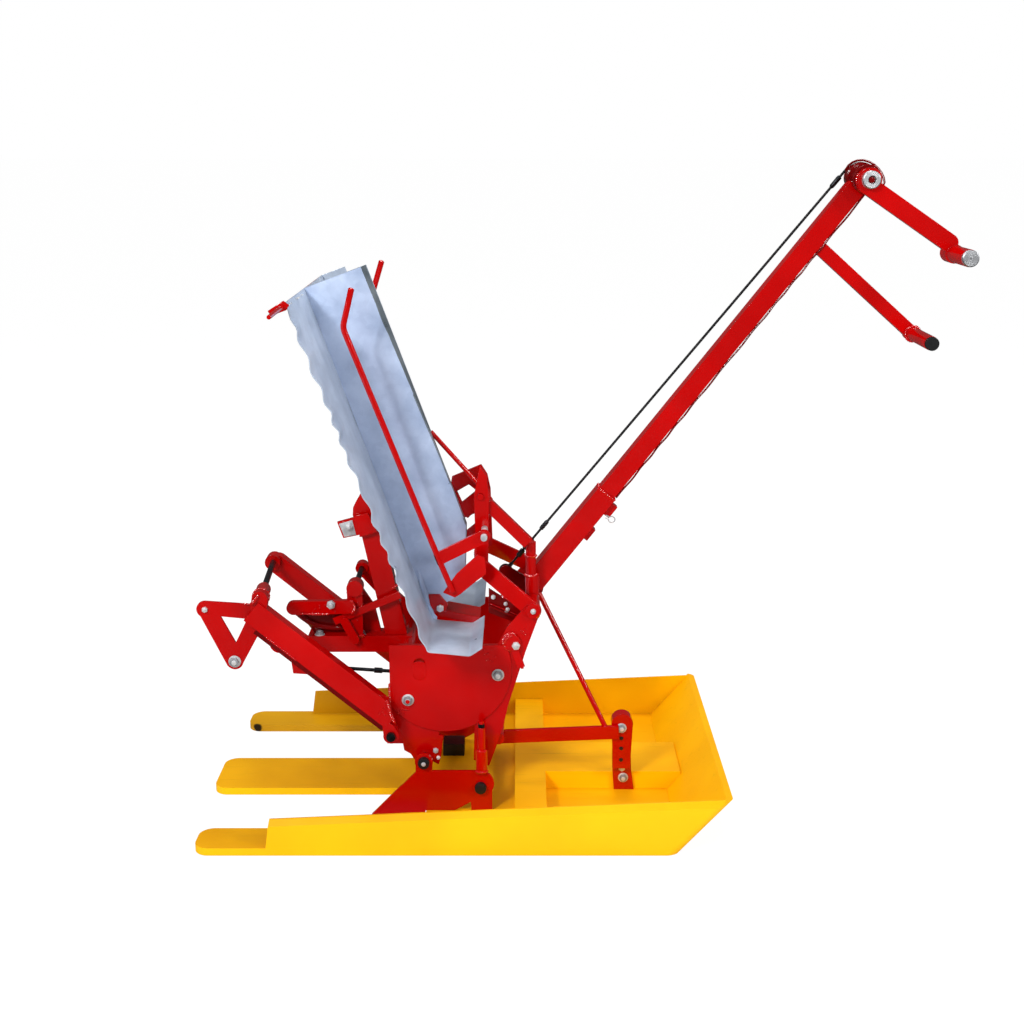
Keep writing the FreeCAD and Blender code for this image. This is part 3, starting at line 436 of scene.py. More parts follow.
BED_TOP = Vector((-0.238, 0.0, 0.808))
BED_SLOPE = math.radians(69.8)
BED_RUN = Vector((math.cos(BED_SLOPE), 0.0, -math.sin(BED_SLOPE)))
BED_UP = Vector((math.sin(BED_SLOPE), 0.0, math.cos(BED_SLOPE)))
BED_LENGTH = 0.545
TRAY_NEAR, TRAY_FAR = -0.200, 0.192
BAY_ENDS = (-0.051, 0.155)
DIVIDER_NEAR_TOP, DIVIDER_NEAR_LOW, DIVIDER_FAR = -0.012, -0.050, 0.004
DIVIDER_HEIGHT = 0.098
CHEEK_HEIGHT = 0.091
CHEEK_RISE = 0.0115
WEDGE_RUN = 0.430
TRAY_SHEET = 1.4 * MM
SHEET_STEP = 0.006
TROUGH_FOOT = Vector((0.012, 0, 0.291))
TROUGH_LIP = Vector((0.030, 0, 0.303))
WAVE_PITCH = 0.037
WAVE_SWAY = 0.19
WAVE_RISE = 2.7 * MM
WAVE_FADE = 0.036
WAVE_STOP = 0.56
WAVE_EASE = 0.05


def bed_profile():
    """Points down the bed, round the foot and up to the trough's lip, about 6 mm apart."""
    corners = [BED_TOP, BED_TOP + BED_RUN * BED_LENGTH, TROUGH_FOOT, TROUGH_LIP]
    bends = (0.0, 0.007, 0.003, 0.0)
    line = [corners[0]]
    for before, corner, after, bend in zip(corners, corners[1:], corners[2:], bends[1:]):
        into, out = (corner - before).normalized(), (after - corner).normalized()
        first, last = corner - into * bend, corner + out * bend
        steps = max(2, int((first - line[-1]).length / SHEET_STEP))
        line += [line[-1].lerp(first, i / steps) for i in range(1, steps + 1)]
        for i in range(1, 6):
            t = i / 5
            line.append(first.lerp(corner, t).lerp(corner.lerp(last, t), t))
    line += [line[-1].lerp(corners[-1], i / 3) for i in (1, 2, 3)]
    return line


def grid_sheet(name, rows, columns, shape, finish):
    """A grid whose points are put in place by shape(u, v), then given its thickness."""
    sheet = primitive("grid", name, x_subdivisions=rows, y_subdivisions=columns, size=1)
    for vertex in sheet.data.vertices:
        vertex.co = shape(vertex.co.x + 0.5, vertex.co.y + 0.5)
    bpy.ops.object.modifier_add(type="SOLIDIFY")
    sheet.modifiers[-1].thickness = TRAY_SHEET
    sheet.modifiers[-1].offset = -1.0
    bpy.ops.object.modifier_apply(modifier=sheet.modifiers[-1].name)
    bpy.ops.object.shade_smooth_by_angle(angle=math.radians(40))
    sheet.data.materials.append(finish)
    return sheet


def dents(point, size, depth):
    """Shallow random hollows, the same on every run."""
    return depth * noise.noise(point / size)


profile = bed_profile()
bed_rows = int(BED_LENGTH / SHEET_STEP)


def bay(y0, y1, wavy, points):
    """Shape of one bay between two Y planes; its edge at y0 may be wavy."""
    last = len(points) - 1

    def shape(u, v):
        i = min(int(u * last + 0.5), last)
        ahead, behind = points[min(i + 1, last)], points[max(i - 1, 0)]
        down = (ahead - behind).normalized()
        up = Vector((-down.z, 0.0, down.x))
        y = y0 + (y1 - y0) * v
        run = u * last * SHEET_STEP
        start = min(1.0, run / WAVE_EASE)
        ends = start * max(0.0, min(1.0, (WAVE_STOP - run) / WAVE_EASE))
        fade = math.exp(-abs(y - y0) / WAVE_FADE) * ends
        sway = 1.5 * math.sin(2 * math.pi * run / WAVE_SWAY)
        ripple = math.sin(2 * math.pi * run / WAVE_PITCH + sway)
        size = 0.75 + 0.9 * abs(noise.noise(Vector((run / 0.06, 3.7, 0.0))))
        rise = wavy * WAVE_RISE * size * fade * ripple
        at = points[i] + Vector((0, y, 0))
        rise += dents(at, 0.07, 1.2 * MM) * start
        return at + up * rise
    return shape


bed_points = profile[:bed_rows]
BED_MIDDLE = 0.006
whole, bed = len(profile) - 1, bed_rows - 1
near_bay, far_bay, middle, side = (
    grid_sheet("tray_" + name, rows, columns, bay(y0, y1, wavy, line), bed_zinc)
    for name, rows, columns, y0, y1, wavy, line in (
        ("near_bay", whole, 30, TRAY_NEAR, BAY_ENDS[0], 1.0, profile),
        ("far_bay", whole, 30, BAY_ENDS[1], BED_MIDDLE, 0.0, profile),
        ("middle_strip", bed, 10, BAY_ENDS[0], BED_MIDDLE, 0.0, bed_points),
        ("far_strip", bed, 8, BAY_ENDS[1], TRAY_FAR, 0.0, bed_points)))
for piece, nodes in ((near_bay, ("tray_bed", "tray_troughs")),
                     (far_bay, ()), (middle, ()), (side, ())):
    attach(piece, "seedling_tray")
    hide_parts(*nodes)
rounded("tray_far_wall", 0.4 * MM, bed_zinc)


KNEE_HEIGHT = 0.062
KNEE_RUN = 0.520
KNEE_TAPER = 0.012
TOP_HEIGHT = 0.036
TOP_TAPER = 0.090
FOOT_RUN = 0.532


def divider_end(height):
    """How far down the bed the divider reaches at a height off it."""
    if height < KNEE_HEIGHT:
        return FOOT_RUN - KNEE_TAPER * height / KNEE_HEIGHT
    return KNEE_RUN - TOP_TAPER * (height - KNEE_HEIGHT) / TOP_HEIGHT


def cheek_top(u):
    """Height of the near cheek's free edge: it stands a little prouder towards the foot."""
    return CHEEK_HEIGHT + CHEEK_RISE * min(1.0, u / 0.75) ** 1.2


def on_divider(run, height, y):
    """A point a distance down the bed and a height off it."""
    return BED_TOP + BED_RUN * run + BED_UP * height + Vector((0, y, 0))


def cheek_y(run):
    """How far the near cheek has leaned out as the wedge widens."""
    spread = min(run / WEDGE_RUN, 1.0)
    return DIVIDER_NEAR_TOP + (DIVIDER_NEAR_LOW - DIVIDER_NEAR_TOP) * spread


def divider_near(u, v):
    """The divider's near cheek: it leans out, and is dented towards its foot."""
    height = cheek_top(u) * v
    run = divider_end(height) * u
    at = BED_TOP + BED_RUN * run + BED_UP * height
    hollow = 0.8 * MM + 3.2 * MM * max(0.0, (run - 0.30) / 0.23) * v
    return at + Vector((0, cheek_y(run) + dents(at + Vector((0.4, 0, 0)), 0.065, hollow), 0))


def divider_far(u, v):
    """The divider's flat far cheek."""
    height = DIVIDER_HEIGHT * (1 - v)
    return on_divider(divider_end(height) * u, height, DIVIDER_FAR)


def divider_edge(u, v):
    """The free edge that joins the two cheeks."""
    height = cheek_top(u) + (DIVIDER_HEIGHT - cheek_top(u)) * v
    run = divider_end(height) * u
    y = cheek_y(run)
    return on_divider(run, height, y + (DIVIDER_FAR - y) * v)


near_cheek = grid_sheet("divider_near_cheek", 70, 14, divider_near, cheek_zinc)
far_cheek = grid_sheet("divider_far_cheek", 70, 8, divider_far, bed_zinc)
free_edge = grid_sheet("divider_free_edge", 70, 3, divider_edge, edge_shade_zinc)
for piece in (near_cheek, far_cheek, free_edge):
    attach(piece, "seedling_tray")
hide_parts("tray_divider")

# ---------------------------------------------------------------- bolts, washers and nuts
# Zinc-plated hex bolts with pressed washers, tightened against the painted plates.  Their heads
# have the turned chamfer of a forged bolt.


def turned(name, radius, height, faces, chamfer, finish, base=0.0):
    """A round or six-sided blank standing out along -Y, with its outer rim chamfered."""
    blank = primitive("cylinder", name, vertices=faces, radius=radius, depth=height,
                      location=(0, -base - height / 2, 0), rotation=(math.radians(90), 0, 0))
    bpy.ops.object.transform_apply(location=True, rotation=True, scale=True)
    bpy.ops.object.mode_set(mode="EDIT")
    bpy.ops.mesh.select_mode(type="EDGE")
    bpy.ops.mesh.select_all(action="DESELECT")
    bpy.ops.object.mode_set(mode="OBJECT")
    mesh = blank.data
    for edge in mesh.edges:
        edge.select = all(abs(mesh.vertices[v].co.y + base + height) < 1e-6 for v in edge.vertices)
    bpy.ops.object.mode_set(mode="EDIT")
    bpy.ops.mesh.bevel(offset=chamfer, segments=2, affect="EDGES")
    bpy.ops.object.mode_set(mode="OBJECT")
    bpy.ops.object.shade_smooth_by_angle(angle=math.radians(30))
    mesh.materials.append(finish)
    return blank


def joined(name, *pieces):
    """Several solids made one object."""
    bpy.ops.object.select_all(action="DESELECT")
    for piece in pieces:
        piece.select_set(True)
    bpy.context.view_layer.objects.active = pieces[0]
    bpy.ops.object.join()
    pieces[0].name = name
    return pieces[0]


def placed(pattern, name, where, body, turn=None, scale=1.0):
    """One copy of a pattern piece with its own mesh, put in place and riding on a body."""
    piece = pattern.copy()
    piece.data = pattern.data.copy()
    piece.name = name
    bpy.context.scene.collection.objects.link(piece)
    turn = turn or Matrix.Identity(4)
    piece.data.transform(Matrix.Translation(Vector(where)) @ turn @ Matrix.Scale(scale, 4))
    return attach(piece, body)


def set_out(pattern, body, copies):
    """A pattern's copies on a body, each a name, place, turn and scale; then the pattern goes."""
    for name, where, *how in copies:
        placed(pattern, name, where, body, *how)
    bpy.data.objects.remove(pattern)


def turn_about(axis, degrees):
    """A turn about one axis."""
    return Matrix.Rotation(math.radians(degrees), 4, axis)


ACROSS_FLATS = 13.0 * MM
HEAD = 5.3 * MM
SHANK = 4.0 * MM
WASHER = 9.5 * MM
WASHER_THICK = 1.6 * MM
CHAMFER = 1.0 * MM
hex_radius = ACROSS_FLATS / 2 / math.cos(math.pi / 6)
washer = turned("washer_blank", WASHER, WASHER_THICK, 32, 0.4 * MM, zinc)
head = turned("head_blank", hex_radius, HEAD, 6, CHAMFER, hex_zinc, base=WASHER_THICK)
tip = turned("tip_blank", SHANK, 1.2 * MM, 20, 0.5 * MM, zinc, base=WASHER_THICK + HEAD)
washered_bolt = joined("washered_bolt_pattern", washer, head, tip)
plain_head = turned("plain_blank", hex_radius, HEAD, 6, CHAMFER, zinc)
stud_end = turned("stud_blank", SHANK, 4.0 * MM, 20, 0.6 * MM, zinc, base=HEAD)
plain_bolt = joined("plain_bolt_pattern", plain_head, stud_end)

PLATE_FACE = 0.117
DISC_FACE = 0.1195
FAR = turn_about("Z", 180)
UPRIGHT = turn_about("X", -90)
# name, place on the face, body, pattern, roll, scale, whether the far side has one too
BOLTS = (
    ("plate_bolt_rear", (-0.0865, -DISC_FACE, 0.1889), "chassis", washered_bolt, 12, 1.0, True),
    ("plate_bolt_front", (0.0523, -DISC_FACE, 0.2300), "chassis", washered_bolt, 40, 1.0, True),
    ("leg_bolt", (0.0800, -PLATE_FACE - 0.006, 0.2790), "chassis", plain_bolt, 25, 0.85, True),
    ("plate_bolt_low", (-0.0450, -PLATE_FACE, 0.1040), "chassis", plain_bolt, 5, 0.6, True),
    ("plate_bolt_tab", (-0.0412, -PLATE_FACE, 0.0920), "chassis", plain_bolt, 25, 0.45, True),
    ("link_end_bolt", (0.1060, -0.124, 0.3340), "chassis", plain_bolt, 15, 0.6, True),
    ("post_bolt_top", (0.2462, -0.079, 0.1250), "chassis", washered_bolt, 20, 0.85, False),
    ("post_bolt_mid", (0.2490, -0.067, 0.0520), "chassis", plain_bolt, 0, 0.75, False),
    ("post_bolt_low", (0.2515, -0.063, 0.0330), "chassis", washered_bolt, 30, 0.85, False),
    ("link_bolt", (-0.2120, -0.030, 0.3140), "chassis", plain_bolt, 10, 0.95, False),
    ("guide_bolt", (-0.1810, -0.0192, 0.4380), "chassis", plain_bolt, 18, 0.75, False),
    ("fork_bolt_upper", (-0.3890, -0.130, 0.3390), "planting_frame", plain_bolt, 8, 0.62, False),
    ("fork_bolt_lower", (-0.3480, -0.130, 0.2560), "planting_frame", washered_bolt, 22, 1.0, False),
    ("push_bolt", (-0.2470, -0.130, 0.2500), "planting_frame", plain_bolt, 35, 0.6, False),
    ("gate_bolt_a", (0.0450, -0.084, 0.3440), "chassis", plain_bolt, 0, 0.5, False),
    ("gate_bolt_b", (0.0640, -0.084, 0.3330), "chassis", plain_bolt, 20, 0.45, False),
    ("gate_bolt_c", (0.0670, -0.084, 0.3240), "chassis", plain_bolt, 20, 0.45, False),
    ("tray_bar_bolt", (-0.0385, -0.054, 0.3160), "seedling_tray", plain_bolt, 0, 0.8, False),
)
for name, where, body, pattern, roll, scale, both in BOLTS:
    rolled = turn_about("Y", roll)
    placed(pattern, name, where, body, rolled, scale)
    if both:
        far_place = (where[0], -where[1], where[2])
        placed(pattern, name + "_far", far_place, body, FAR @ rolled, scale)
set_out(washered_bolt, "chassis", (
    ("beam_bolt_rear", (-0.2340, -0.0128, 0.2575), UPRIGHT, 0.85),
    ("beam_bolt_front", (-0.1680, -0.012, 0.2575), UPRIGHT, 0.85)))
bpy.data.objects.remove(plain_bolt)

# black discs up the front post stand for the holes punched for height; their black is painted shade
# in the holes
punched = turned("punched_pattern", 3.2 * MM, 0.5 * MM, 20, 0.15 * MM, rubber)
set_out(punched, "chassis", [(f"post_hole_{i}", (0.2465, -0.0790, rise))
                             for i, rise in enumerate((0.1073, 0.0902, 0.0706))])

# ---------------------------------------------------------------- turned ends
# The hub cap and the hand grip's plug are turned from aluminium bar: fine rings from the tool,
# a chamfered rim, and in the hub cap a hole down to the shaft's end, whose dark red is painted
# shade in the hole.
RING_PITCH = 1.1 * MM
CAP_RIM = 1.2 * MM


def ring_finish(centre):
    """The aluminium with its tool rings centred on one axis along Y."""
    material, tree, shader, place = finish_named("turned aluminium")
    shift = (-centre.x, 0, -centre.z)
    moved = add(tree, "Mapping", {"Vector": place, "Location": shift})
    split = add(tree, "SeparateXYZ", {"Vector": moved}).outputs
    along, upwards = (add(tree, "Math", {0: split[axis], 1: 2.0}, operation="POWER")
                      for axis in ("X", "Z"))
    square = add(tree, "Math", {0: along, 1: upwards}, operation="ADD")
    radius = add(tree, "Math", {0: square}, operation="SQRT")
    rings = add(tree, "Math", {0: radius, 1: 2 * math.pi / RING_PITCH}, operation="MULTIPLY")
    ripple = add(tree, "Math", {0: rings}, operation="SINE")
    shades = add(tree, "MapRange", {"Value": ripple, "From Min": -1.0})
    wire(tree, shader, {
        "Base Color": two_tones(tree, shades, "#D8DCE2", "#FAFBFC", 0.0, 1.0),
        "Normal": add(tree, "Bump", {"Height": shades, "Strength": 0.3, "Distance": 0.0002}),
        "Metallic": 1.0,
        "Roughness": 0.48,
        "Anisotropic": 0.6,
    })
    return material


def end_cap(node, hole):
    """A chamfered disc with a blind hole, in a node's place; returns its centre."""
    low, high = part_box(node)
    centre = (low + high) / 2
    radius = (high.x - low.x) / 2
    cap = primitive("cylinder", node + "_turned", vertices=56, radius=radius, depth=high.y - low.y,
                    location=centre, rotation=(math.radians(90), 0, 0))
    bpy.ops.object.transform_apply(location=True, rotation=True, scale=True)
    bpy.ops.object.mode_set(mode="EDIT")
    bpy.ops.mesh.select_mode(type="FACE")
    bpy.ops.mesh.select_all(action="DESELECT")
    bpy.ops.object.mode_set(mode="OBJECT")
    for face in cap.data.polygons:
        face.select = face.normal.y < -0.9
    bpy.ops.object.mode_set(mode="EDIT")
    bpy.ops.mesh.inset(thickness=CAP_RIM, depth=1.0 * MM)
    bpy.ops.mesh.inset(thickness=radius - CAP_RIM - hole, depth=0.0)
    bpy.ops.mesh.inset(thickness=0.5 * MM, depth=-0.6 * MM)
    bpy.ops.mesh.extrude_region_move(TRANSFORM_OT_translate={"value": (0, 5 * MM, 0)})
    bpy.ops.object.mode_set(mode="OBJECT")
    bpy.ops.object.shade_smooth_by_angle(angle=math.radians(30))
    cap.data.materials.append(ring_finish(centre))
    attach(cap, body_of_node[node])
    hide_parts(node)
    return centre


HUB = end_cap("hub_cap", 6.2 * MM)
end_cap("crank_plug", 1.0 * MM)
# the shaft's end at the bottom of the hole takes the darker red, painted shade
dark_core = turned("hub_core", 4.6 * MM, 6.0 * MM, 32, 0.8 * MM, shade_enamel)
core_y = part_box("hub_cap")[0].y + 6.4 * MM
set_out(dark_core, "hand_lever", [("hub_core_end", (HUB.x, core_y, HUB.z))])

# ---------------------------------------------------------------- pull cable
# Six-strand steel wire rope about 4 mm thick, dark with oil, from the drum at the hub down to
# the rocker behind the stand.
rope_steel = plain_metal("oiled wire rope", "#0B0C0D", "#34383A", 0.003, 3.0, 0.6, 0.42, last=0.75)

CABLE_Y = 0.030
CABLE_RUN = Vector((0.631632, 0.0, 0.775268))
CABLE_EYE = Vector((0.063142, CABLE_Y, 0.351752))
ROPE_LAY = 0.026
ROPE_RADIUS = 2.1 * MM
ROPE_FOOT = 0.106
low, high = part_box("pull_cable")
rope_start = CABLE_EYE + CABLE_RUN * ROPE_FOOT
rope_end = CABLE_EYE + CABLE_RUN * ((high - CABLE_EYE).dot(CABLE_RUN) - 0.001)

# one round section with six lobes, swept and twisted along the line
rope_length = (rope_end - rope_start).length
rope_turns = max(1, round(rope_length / ROPE_LAY))
cable = primitive("circle", "pull_cable_rope", vertices=24, radius=ROPE_RADIUS, fill_type="NGON")
for vertex in cable.data.vertices:
    around = math.atan2(vertex.co.y, vertex.co.x)
    vertex.co *= 0.80 + 0.20 * abs(math.cos(3 * around))
bpy.ops.object.modifier_add(type="SCREW")
screw = cable.modifiers[-1]
screw.axis = "Z"
screw.angle = 2 * math.pi
screw.screw_offset = rope_length / rope_turns
screw.iterations = rope_turns
screw.steps = 10
screw.render_steps = 10
screw.use_normal_calculate = True
bpy.ops.object.modifier_apply(modifier=screw.name)
bpy.ops.object.shade_smooth_by_angle(angle=math.radians(50))
turn = (rope_end - rope_start).to_track_quat("Z", "Y").to_matrix().to_4x4()
cable.data.transform(Matrix.Translation(rope_start) @ turn)
cable.data.materials.append(rope_steel)
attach(cable, "pull_cable")
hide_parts("pull_cable")

# ---------------------------------------------------------------- cable fittings
# A long screw with lock nuts takes up the cable's slack at its foot, and pressed ferrules close
# both of the rope's ends.


def ringed(name, path, radii, sides, finish, body):
    """A closed skin of rings along a path, each ring with its own radius."""
    rows = len(path) - 1
    piece = primitive("grid", name, x_subdivisions=rows, y_subdivisions=sides, size=1)
    frames = []
    across = None
    for i in range(rows + 1):
        ahead = (path[min(i + 1, rows)] - path[max(i - 1, 0)]).normalized()
        across = ahead.orthogonal() if across is None else across - ahead * across.dot(ahead)
        across.normalize()
        frames.append((across.copy(), ahead.cross(across)))
    for vertex in piece.data.vertices:
        i = round((vertex.co.x + 0.5) * rows)
        angle = 2 * math.pi * (vertex.co.y + 0.5)
        first, second = frames[i]
        vertex.co = path[i] + (first * math.cos(angle) + second * math.sin(angle)) * radii[i]
    bpy.ops.object.mode_set(mode="EDIT")
    bpy.ops.mesh.select_all(action="SELECT")
    bpy.ops.mesh.remove_doubles(threshold=MERGE)
    bpy.ops.mesh.normals_make_consistent(inside=False)
    bpy.ops.object.mode_set(mode="OBJECT")
    bpy.ops.object.shade_smooth_by_angle(angle=math.radians(40))
    piece.data.materials.append(finish)
    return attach(piece, body)


def rod(name, path, radius, sides, finish, body):
    """A round bar along a path with domed ends."""
    first = (path[0] - path[1]).normalized() * radius
    last = (path[-1] - path[-2]).normalized() * radius
    dome = ((0.55, 0.0), (0.42, 0.62), (0.0, 1.0))
    line = [path[0] + first * out for out, _ in dome] + path[1:-1]
    line += [path[-1] + last * out for out, _ in dome[::-1]]
    wide = [radius * share for _, share in dome]
    radii = wide + [radius] * (len(path) - 2) + wide[::-1]
    return ringed(name, line, radii, sides, finish, body)


def fitting(name, stations, sides):
    """A blackened piece on the cable's line: (distance from the eye, radius) in millimetres."""
    path = [CABLE_EYE + CABLE_RUN * (distance * MM) for distance, _ in stations]
    radii = [radius * MM for _, radius in stations]
    return ringed(name, path, radii, sides, black_steel, "pull_cable")


black_steel = plain_metal("blackened steel", "#0D0E10", "#3A3D40", 0.006, 5.0, 0.8, (0.25, 0.5),
                          first=0.3, last=0.7)

THREAD = [(8.0 + 0.6 * i, 1.75 + 0.4 * (i % 2)) for i in range(138)]
end_screw = fitting("cable_end_screw", [(7.9, 0.0)] + THREAD + [(91.0, 0.0)], 14)
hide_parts("cable_tensioner")
# name, start, end and radius in millimetres
LOCK_NUTS = (("long", 31.0, 45.0, 4.4), ("jam", 46.5, 50.0, 4.0), ("top", 63.0, 69.0, 3.8))
for name, start, end, radius in LOCK_NUTS:
    rim = radius - 0.9
    fitting("cable_nut_" + name, ((start, 0.0), (start + 0.1, rim), (start + 0.8, radius),
                                  (end - 0.8, radius), (end - 0.1, rim), (end, 0.0)), 6)
CRIMPS = [(88.9, 0.0), (89.0, 2.6), (90.0, 3.5)]
for mark in (92.5, 96.5, 100.5):
    CRIMPS += [(mark - 1.0, 3.7), (mark, 3.1), (mark + 1.0, 3.7)]
CRIMPS += [(104.5, 3.4), (106.8, 2.3), (107.0, 0.0)]
fitting("cable_ferrule_low", CRIMPS, 16)
top = (rope_end - CABLE_EYE).dot(CABLE_RUN) / MM
TOP_FERRULE = ((38, 0.0), (37.8, 2.3), (35, 3.6), (20, 3.8), (17, 3.4), (16.8, 0.0))
fitting("cable_ferrule_top", [(top - back, radius) for back, radius in TOP_FERRULE], 16)

# station along Y and radius of the painted sleeve over the bearing, in millimetres
SLEEVE_TURN = ((-33.8, 16.0), (-33.7, 20.0), (-32.5, 21.2), (-24.0, 21.2), (-23.0, 20.4),
               (5.0, 20.8), (6.5, 23.2), (18.0, 23.6), (19.6, 22.6), (19.7, 16.0))
# the sleeve takes the darker red, painted shade
ringed("hub_sleeve", [Vector((HUB.x, y * MM, HUB.z)) for y, _ in SLEEVE_TURN],
       [radius * MM for _, radius in SLEEVE_TURN], 48, shade_enamel, "chassis")

# ---------------------------------------------------------------- strand under the handle tube
# A second, slack strand hangs just under the square tube, from the clamp lug up to the hub.
# It waves a little, so light shows between it and the tube in places.
HANDLE_FOOT = Vector((0.098, 0.0, 0.331))
HUB_AXIS = Vector((0.594, 0.0, 0.9685))
handle_way = (HUB_AXIS - HANDLE_FOOT).normalized()
handle_under = Vector((handle_way.z, 0.0, -handle_way.x))
TUBE_HALF = 14.0 * MM
STRAND_Y = -11.5 * MM
STRAND_FROM = 0.205
STRAND_TO = 0.790
STRAND_POINTS = 150

strand_path = []
for i in range(STRAND_POINTS):
    run = STRAND_FROM + (STRAND_TO - STRAND_FROM) * i / (STRAND_POINTS - 1)
    sag = 2.2 * MM + 0.6 * MM * math.sin(run / 0.0085 + 2.0 * math.sin(run / 0.05))
    below = handle_under * (TUBE_HALF + sag)
    strand_path.append(HANDLE_FOOT + handle_way * run + below + Vector((0, STRAND_Y, 0)))
# the strand takes the darker red, painted shade under the tube
rod("handle_strand", strand_path, 1.5 * MM, 10, shade_enamel, "chassis")

# ---------------------------------------------------------------- weld beads
# The red frame is stick-welded by hand: rippled fillet beads, painted over, run round each boss
# and along each joint.  Their small round ridges catch the lamps as rows of bright points.
RIPPLE = 3.2 * MM
BEAD_STEP = 0.8 * MM


def spaced(path, step):
    """The same line with its points a fixed step apart."""
    line = [path[0]]
    left = step
    for start, end in zip(path, path[1:]):
        length = (end - start).length
        at = left
        while at <= length:
            line.append(start.lerp(end, at / length))
            at += step
        left = at - length
    return line


def weld(name, path, radius, body):
    """A bead along a path, swelling with every ripple and tapering at both ends."""
    line = spaced(path, BEAD_STEP)
    last = len(line) - 1
    radii = []
    for i, point in enumerate(line):
        swell = 0.72 + 0.28 * abs(math.sin(math.pi * i * BEAD_STEP / RIPPLE))
        taper = min(1.0, min(i, last - i) / 3)
        radii.append(1.35 * radius * MM * taper * (swell + 0.25 * noise.noise(point / 0.004)))
    radii[0] = radii[-1] = 0.0
    return ringed(name, line, radii, 8, weld_enamel, body)


def arc(centre, radius, first=0, last=360, right=Vector((1, 0, 0)), up=Vector((0, 0, 1))):
    """Points round a circle in millimetres, every five degrees."""
    middle = Vector(centre) * MM
    count = max(2, int(abs(last - first) / 5))
    angles = [math.radians(first + (last - first) * i / count) for i in range(count + 1)]
    return [middle + (right * math.cos(a) + up * math.sin(a)) * radius * MM for a in angles]


def points(*corners):
    """Corners given in millimetres."""
    return [Vector(corner) * MM for corner in corners]


hub_x, hub_z = HUB.x / MM, HUB.z / MM
SLEEVE_LENGTH = 0.2005
sleeve_mouth = HANDLE_FOOT + handle_way * SLEEVE_LENGTH
sleeve_top = [sleeve_mouth + handle_under * u * 15 * MM + Vector((0, y * 15 * MM, 0))
              for u, y in ((-1, -1), (1, -1), (1, 1), (-1, 1), (-1, -1))]
level = Vector((0, 1, 0))
CHASSIS_BEADS = (
    ("sleeve_top", sleeve_top, 1.9),
    ("hub_near", arc((hub_x, -14.6, hub_z), 18.0, 188, 276), 2.0),
    ("hub_far", arc((hub_x, 14.6, hub_z), 18.0, 188, 276), 2.0),
    ("grip_ring", arc((682.0, -11.0, 739.0), 11.3), 1.7),
    ("grip_arm_near",
     points((541.5, -10.2, 876.0), (534.5, -10.2, 868.5), (527.5, -10.2, 861.0)), 2.0),
    ("leg_boss", arc((74.0, -118.2, 283.0), 13.6, 60, 330), 2.1),
    ("leg_boss_face", arc((74.0, -122.6, 283.0), 11.2, 80, 200), 1.6),
    ("leg_finger", points((79, -118.5, 268), (84, -118.5, 244), (93, -118.5, 240)), 1.8),
    ("rod_foot_near", arc((26.8, -135.5, 79.0), 9.4, 180, 360, up=level), 1.7),
    ("rod_sleeve_near", arc((26.8, -135.5, 112.8), 7.0, 180, 360, up=level), 1.7),
    ("foot_post_low", arc((103.0, -34.0, 364.5), 9.2, 170, 370, up=level), 1.9),
    ("foot_post_high", arc((103.0, -34.0, 396.0), 8.3, 170, 370, up=level), 1.5),
    ("column_foot",
     points((-188, -19, 258), (-187.5, -21, 258), (-163.5, -21, 258), (-163, -15, 258)), 2.1),
    ("column_boss", arc((-175.0, -21.0, 337.6), 13.4, 200, 340), 1.9),
    ("plate_column",
     points((-114.6, -118.2, 216), (-114.6, -118.2, 178), (-112.5, -118.0, 160)), 2.0),
    ("plate_lug", points((-98, -120.0, 176), (-92, -120.0, 173.5), (-83, -120.0, 173)), 1.4),
    ("arm_rest", points((-118, -13, 332), (-108, -13, 341), (-104, -13, 345)), 1.8),
    ("link_upper", points((-262, -30.0, 299), (-240, -30.4, 297.5), (-214, -30.4, 298)), 1.5),
    ("link_root", arc((-186.0, -30.0, 309.0), 11.4, -70, 80), 1.8),
    ("stand_bar_top", arc((26.0, -70.5, 388.0), 12.4, 120, 300), 1.7),
    ("upright_foot", points((17, -64.6, 392), (17.5, -64.6, 420)), 1.6),
    ("gate_shelf", points((38, -84.6, 333), (60, -84.6, 323.5), (84, -84.6, 312.5)), 1.5),
    ("gate_corner", points((56, -84.6, 346), (70, -84.6, 339), (84, -84.6, 334)), 1.5),
    ("lug_upper", points((210, -8.6, 473), (216, -8.8, 468), (223.5, -8.6, 464)), 1.7),
    ("lug_lower", points((178, -8.6, 431), (184, -8.8, 427), (191, -8.6, 422)), 1.6),
    ("bracket_clip", points((-166, -18.4, 421.5), (-142, -18.4, 429)), 1.3),
)
tie_way = Vector((-0.025, 0.262, -0.023)).normalized()
tie_across = tie_way.orthogonal().normalized()
tie_up = tie_way.cross(tie_across)
FRAME_BEADS = (
    ("sleeve_ring", arc((-303.4, -129.0, 359.6), 11.6, 0, 360, tie_across, tie_up), 1.8),
    ("horn", points((-317, -146.4, 352), (-312, -150.4, 357), (-303, -146.4, 368)), 1.7),
    ("fork_top", points((-333, -130.6, 349), (-318, -130.6, 346.5), (-312, -130.6, 340)), 1.4),
    ("arm_edge", points((-296, -150.2, 302.5), (-270, -150.2, 281), (-250, -150.2, 264)), 1.0),
    ("butt", points((-116.5, -149.8, 201), (-110.6, -150.0, 175), (-104, -149.8, 162)), 2.0),
)
LEVER_BEADS = (
    ("crank_back", arc((hub_x, -38.6, hub_z), 17.4, 150, 330), 1.2),
    ("crank_grip", arc((724.0, -53.2, 862.0), 12.3), 0.8),
)
for body, beads in (("chassis", CHASSIS_BEADS), ("planting_frame", FRAME_BEADS),
                    ("hand_lever", LEVER_BEADS)):
    for name, path, radius in beads:
        weld("weld_" + name, path, radius, body)

